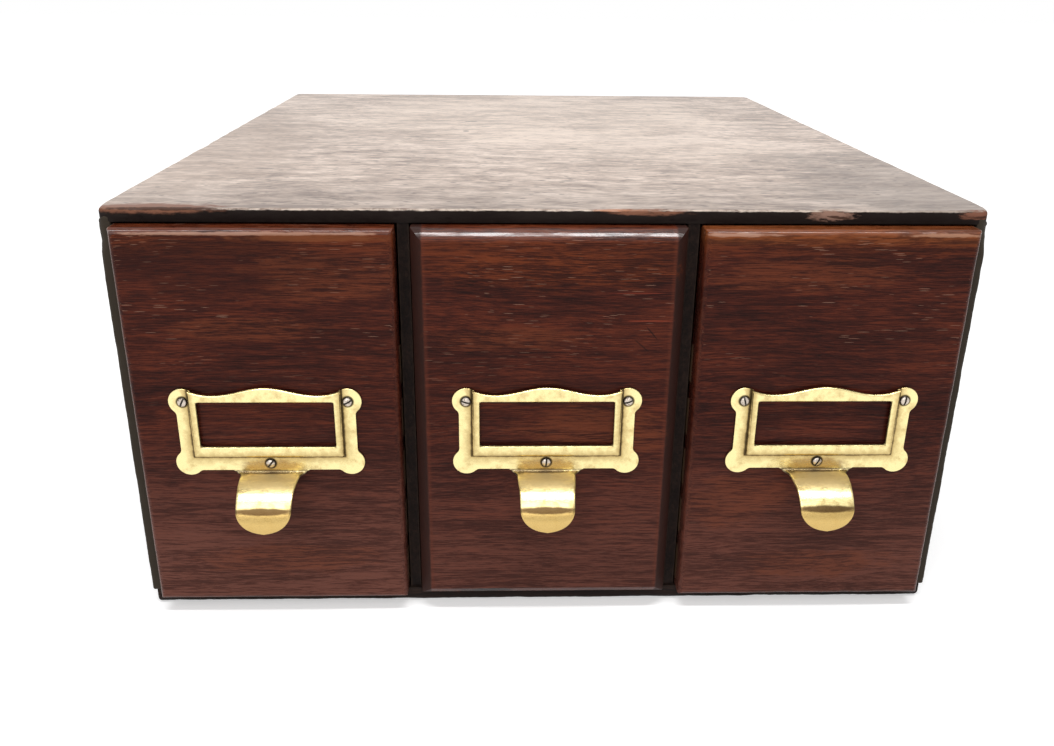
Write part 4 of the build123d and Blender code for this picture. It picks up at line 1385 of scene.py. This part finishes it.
@dataclass
class Case:
    """The fixed case: boards, dividers and back panel, with the nails that hold them."""

    effects: EffectLibrary
    steel: bpy.types.Material

    def build(self) -> None:
        """Makes every piece of the case."""
        boards = (
            (WornBoard("top_board", Facing.UP, corner=6.0, face_arris=1.1, waver=0.5, wear=0.3,
                       step=1.2, turns=7, rubs=TOP_RUBS), TOP_PAINTED_SHEEN_FINISH, Grain.ACROSS, TOP_MARKS),
            (WornBoard("base_board", Facing.DOWN, corner=0.8, face_arris=3.0, waver=0.6, wear=0.2),
             EDGE_FINISH, Grain.ACROSS, ()),
            *((WornBoard(node, facing, face_arris=1.4, waver=0.6, wear=0.4, taper=0.1,
                         rubs=(Rub((facing.value[1] * CASE_SIDE, CASE_FRONT, 189.0), 15.0, 3.2),)),
               SIDE_FINISH, Grain.DEEP, SIDE_MARKS)
              for node, facing in (("left_side", Facing.LEFT), ("right_side", Facing.RIGHT))),
        )
        for board, finish, grain, marks in boards:
            piece = board.build()
            piece.data.materials.append(finish.material(board.node, grain, self.effects, marks))
            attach(piece, "case")
            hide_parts(board.node)
            log.info("built %s", piece.name)
        for node in ("left_divider", "right_divider"):
            dress(node, EDGE_FINISH.material(node, Grain.DEEP, self.effects))
        dress("back_panel", SIDE_FINISH.material("back_panel", Grain.ACROSS, self.effects))
        for node in ("base_nails", "back_pins"):
            dress(node, self.steel)


@dataclass
class Drawer:
    """One drawer: its varnished front, its box, its brass and its card follower."""

    bay: Bay
    effects: EffectLibrary
    steel: bpy.types.Material
    screws: ScrewSet

    def build(self) -> None:
        """Makes every piece of the drawer."""
        name, look = self.bay.value, FRONT_LOOKS[self.bay]
        front = WornBoard(f"{name}_drawer_front", Facing.FRONT, face_arris=look.arris,
                          flatness=look.flatness, waver=look.waver, wear=0.06, turns=9, taper=0.1)
        piece = front.build()
        finish = replace(FRONT_FINISH, arris_width=look.arris, arris_coat=look.coat,
                         coat_heights=(FRONT_TOP - look.arris, FRONT_TOP - look.arris * 0.4))
        piece.data.materials.append(
            finish.material(front.node, Grain.ACROSS, self.effects, look.marks()))
        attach(piece, f"{name}_drawer")
        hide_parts(front.node)
        holder = LabelHolder(self.bay)
        holder.build(self.effects)
        self.screws.build(holder, self.steel, number_of(name))
        for part, grain in (("left_side", Grain.DEEP), ("right_side", Grain.DEEP),
                            ("back", Grain.ACROSS), ("bottom", Grain.ACROSS)):
            node = f"{name}_drawer_{part}"
            dress(node, BOX_FINISH.material(node, grain, self.effects, BOX_GAP_SHADE))
        dress(f"{name}_card_follower",
              FOLLOWER_FINISH.material(f"{name}_card_follower", Grain.ACROSS, self.effects))
        dress(f"{name}_drawer_bottom_pins", self.steel)
        log.info("built the %s drawer", name)


def dress(node: str, material: bpy.types.Material) -> None:
    """Gives a CAD node a finish in place of its plain one.

    Args:
        node: the node's name.
        material: the finish.
    """
    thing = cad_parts[node]
    if not thing.material_slots:
        thing.data.materials.append(material)
    for slot in thing.material_slots:
        slot.material = material


# The studio

@dataclass
class Studio:
    """The white floor, the soft lights and the camera at the photograph's place."""

    camera_place: Point = (-0.02209, -0.63281, 0.28399)
    yaw: float = 0.0325
    pitch: float = 0.38
    roll: float = 0.0107
    lens: float = 33.42
    near_glow: float = 0.42
    far_glow: float = 0.75
    sky_light: float = 0.32

    def build_camera(self) -> None:
        """Sets the camera up."""
        ahead = Vector((math.sin(self.yaw) * math.cos(self.pitch),
                        math.cos(self.yaw) * math.cos(self.pitch), -math.sin(self.pitch)))
        level = Vector((math.cos(self.yaw), -math.sin(self.yaw), 0.0))
        above = level.cross(ahead)
        right = level * math.cos(self.roll) + above * math.sin(self.roll)
        up = above * math.cos(self.roll) - level * math.sin(self.roll)
        camera = bpy.data.objects.new("camera", bpy.data.cameras.new("camera"))
        camera.data.lens = self.lens
        camera.data.sensor_width = 36.0
        camera.data.clip_start = 0.01
        camera.matrix_world = Matrix.Translation(self.camera_place) @ Matrix(
            (right, up, -ahead)).transposed().to_4x4()
        bpy.context.scene.collection.objects.link(camera)
        bpy.context.scene.camera = camera

    @staticmethod
    def seen(sheet: NodeSheet) -> bpy.types.NodeSocket:
        """Returns 1 for a ray that shows the background, straight or mirrored, and 0 for the rest."""
        path = sheet.tree.nodes.new("ShaderNodeLightPath").outputs
        mirrored = sheet.math("MAXIMUM", path["Is Glossy Ray"], path["Is Transmission Ray"])
        return sheet.math("MAXIMUM", path["Is Camera Ray"], mirrored)

    def build_floor(self) -> None:
        """Lays the white floor, which glows where the lamps don't reach."""
        reach = 8.0
        mesh = bpy.data.meshes.new("floor")
        mesh.from_pydata([(-reach, -reach, 0.0), (reach, -reach, 0.0), (reach, reach, 0.0),
                          (-reach, reach, 0.0)], [], [(0, 1, 2, 3)])
        floor = bpy.data.objects.new("floor", mesh)
        bpy.context.scene.collection.objects.link(floor)
        material, sheet = open_material("floor")
        away = sheet.vector("LENGTH", sheet.add("TexCoord", {}, "Object"), output="Value")
        glow = sheet.math("MULTIPLY", self.seen(sheet),
                          sheet.remap(away, 0.3, 1.6, self.near_glow, self.far_glow))
        sheet.fill(material.node_tree.nodes["Principled BSDF"], {
            "Base Color": rgba((0.86, 0.86, 0.86)), "Roughness": 0.9, "Specular IOR Level": 0.0,
            "Emission Color": rgba((1.0, 1.0, 1.0)), "Emission Strength": glow})
        mesh.materials.append(material)

    def build_world(self) -> None:
        """Makes the world: plain white where it is seen or mirrored, softer where it lights."""
        world = bpy.data.worlds.new("studio")
        world.use_nodes = True
        bpy.context.scene.world = world
        sheet = NodeSheet(world.node_tree)
        strength = sheet.remap(self.seen(sheet), 0.0, 1.0, self.sky_light, 1.0)
        sheet.fill(world.node_tree.nodes["Background"], {
            "Color": rgba((1.0, 1.0, 1.0)), "Strength": strength})

    def build_lamp(self, name: str, place: Point, target: Point, size: Spot, power: float) -> None:
        """Hangs a rectangular lamp.

        Args:
            name: the lamp's name.
            place: where it hangs.
            target: the point that it faces.
            size: its width and height.
            power: its power in watts.
        """
        lamp = bpy.data.lights.new(name, "AREA")
        lamp.shape = "RECTANGLE"
        lamp.size, lamp.size_y = size
        lamp.energy = power
        thing = bpy.data.objects.new(name, lamp)
        thing.location = place
        thing.rotation_euler = (Vector(target) - Vector(place)).to_track_quat("-Z", "Y").to_euler()
        bpy.context.scene.collection.objects.link(thing)

    def build(self) -> None:
        """Makes the whole studio."""
        bpy.context.scene.view_settings.view_transform = "Standard"
        self.build_camera()
        self.build_floor()
        self.build_world()
        self.build_lamp("strip", (0.0, -0.62, 1.7), (0.0, -0.15, 0.1), (1.7, 0.22), 20.0)
        self.build_lamp("front", (-0.5, -2.0, 1.5), (0.0, -0.2, 0.1), (2.4, 1.6), 20.0)


def main() -> None:
    """Builds the studio and the cabinet."""
    logging.basicConfig(level=logging.INFO)
    effects = EffectLibrary()
    steel = SteelFinish().material("old_steel")
    Studio().build()
    Case(effects, steel).build()
    screws = ScrewSet()
    for bay in Bay:
        Drawer(bay, effects, steel, screws).build()


if __name__ == "__main__":
    main()
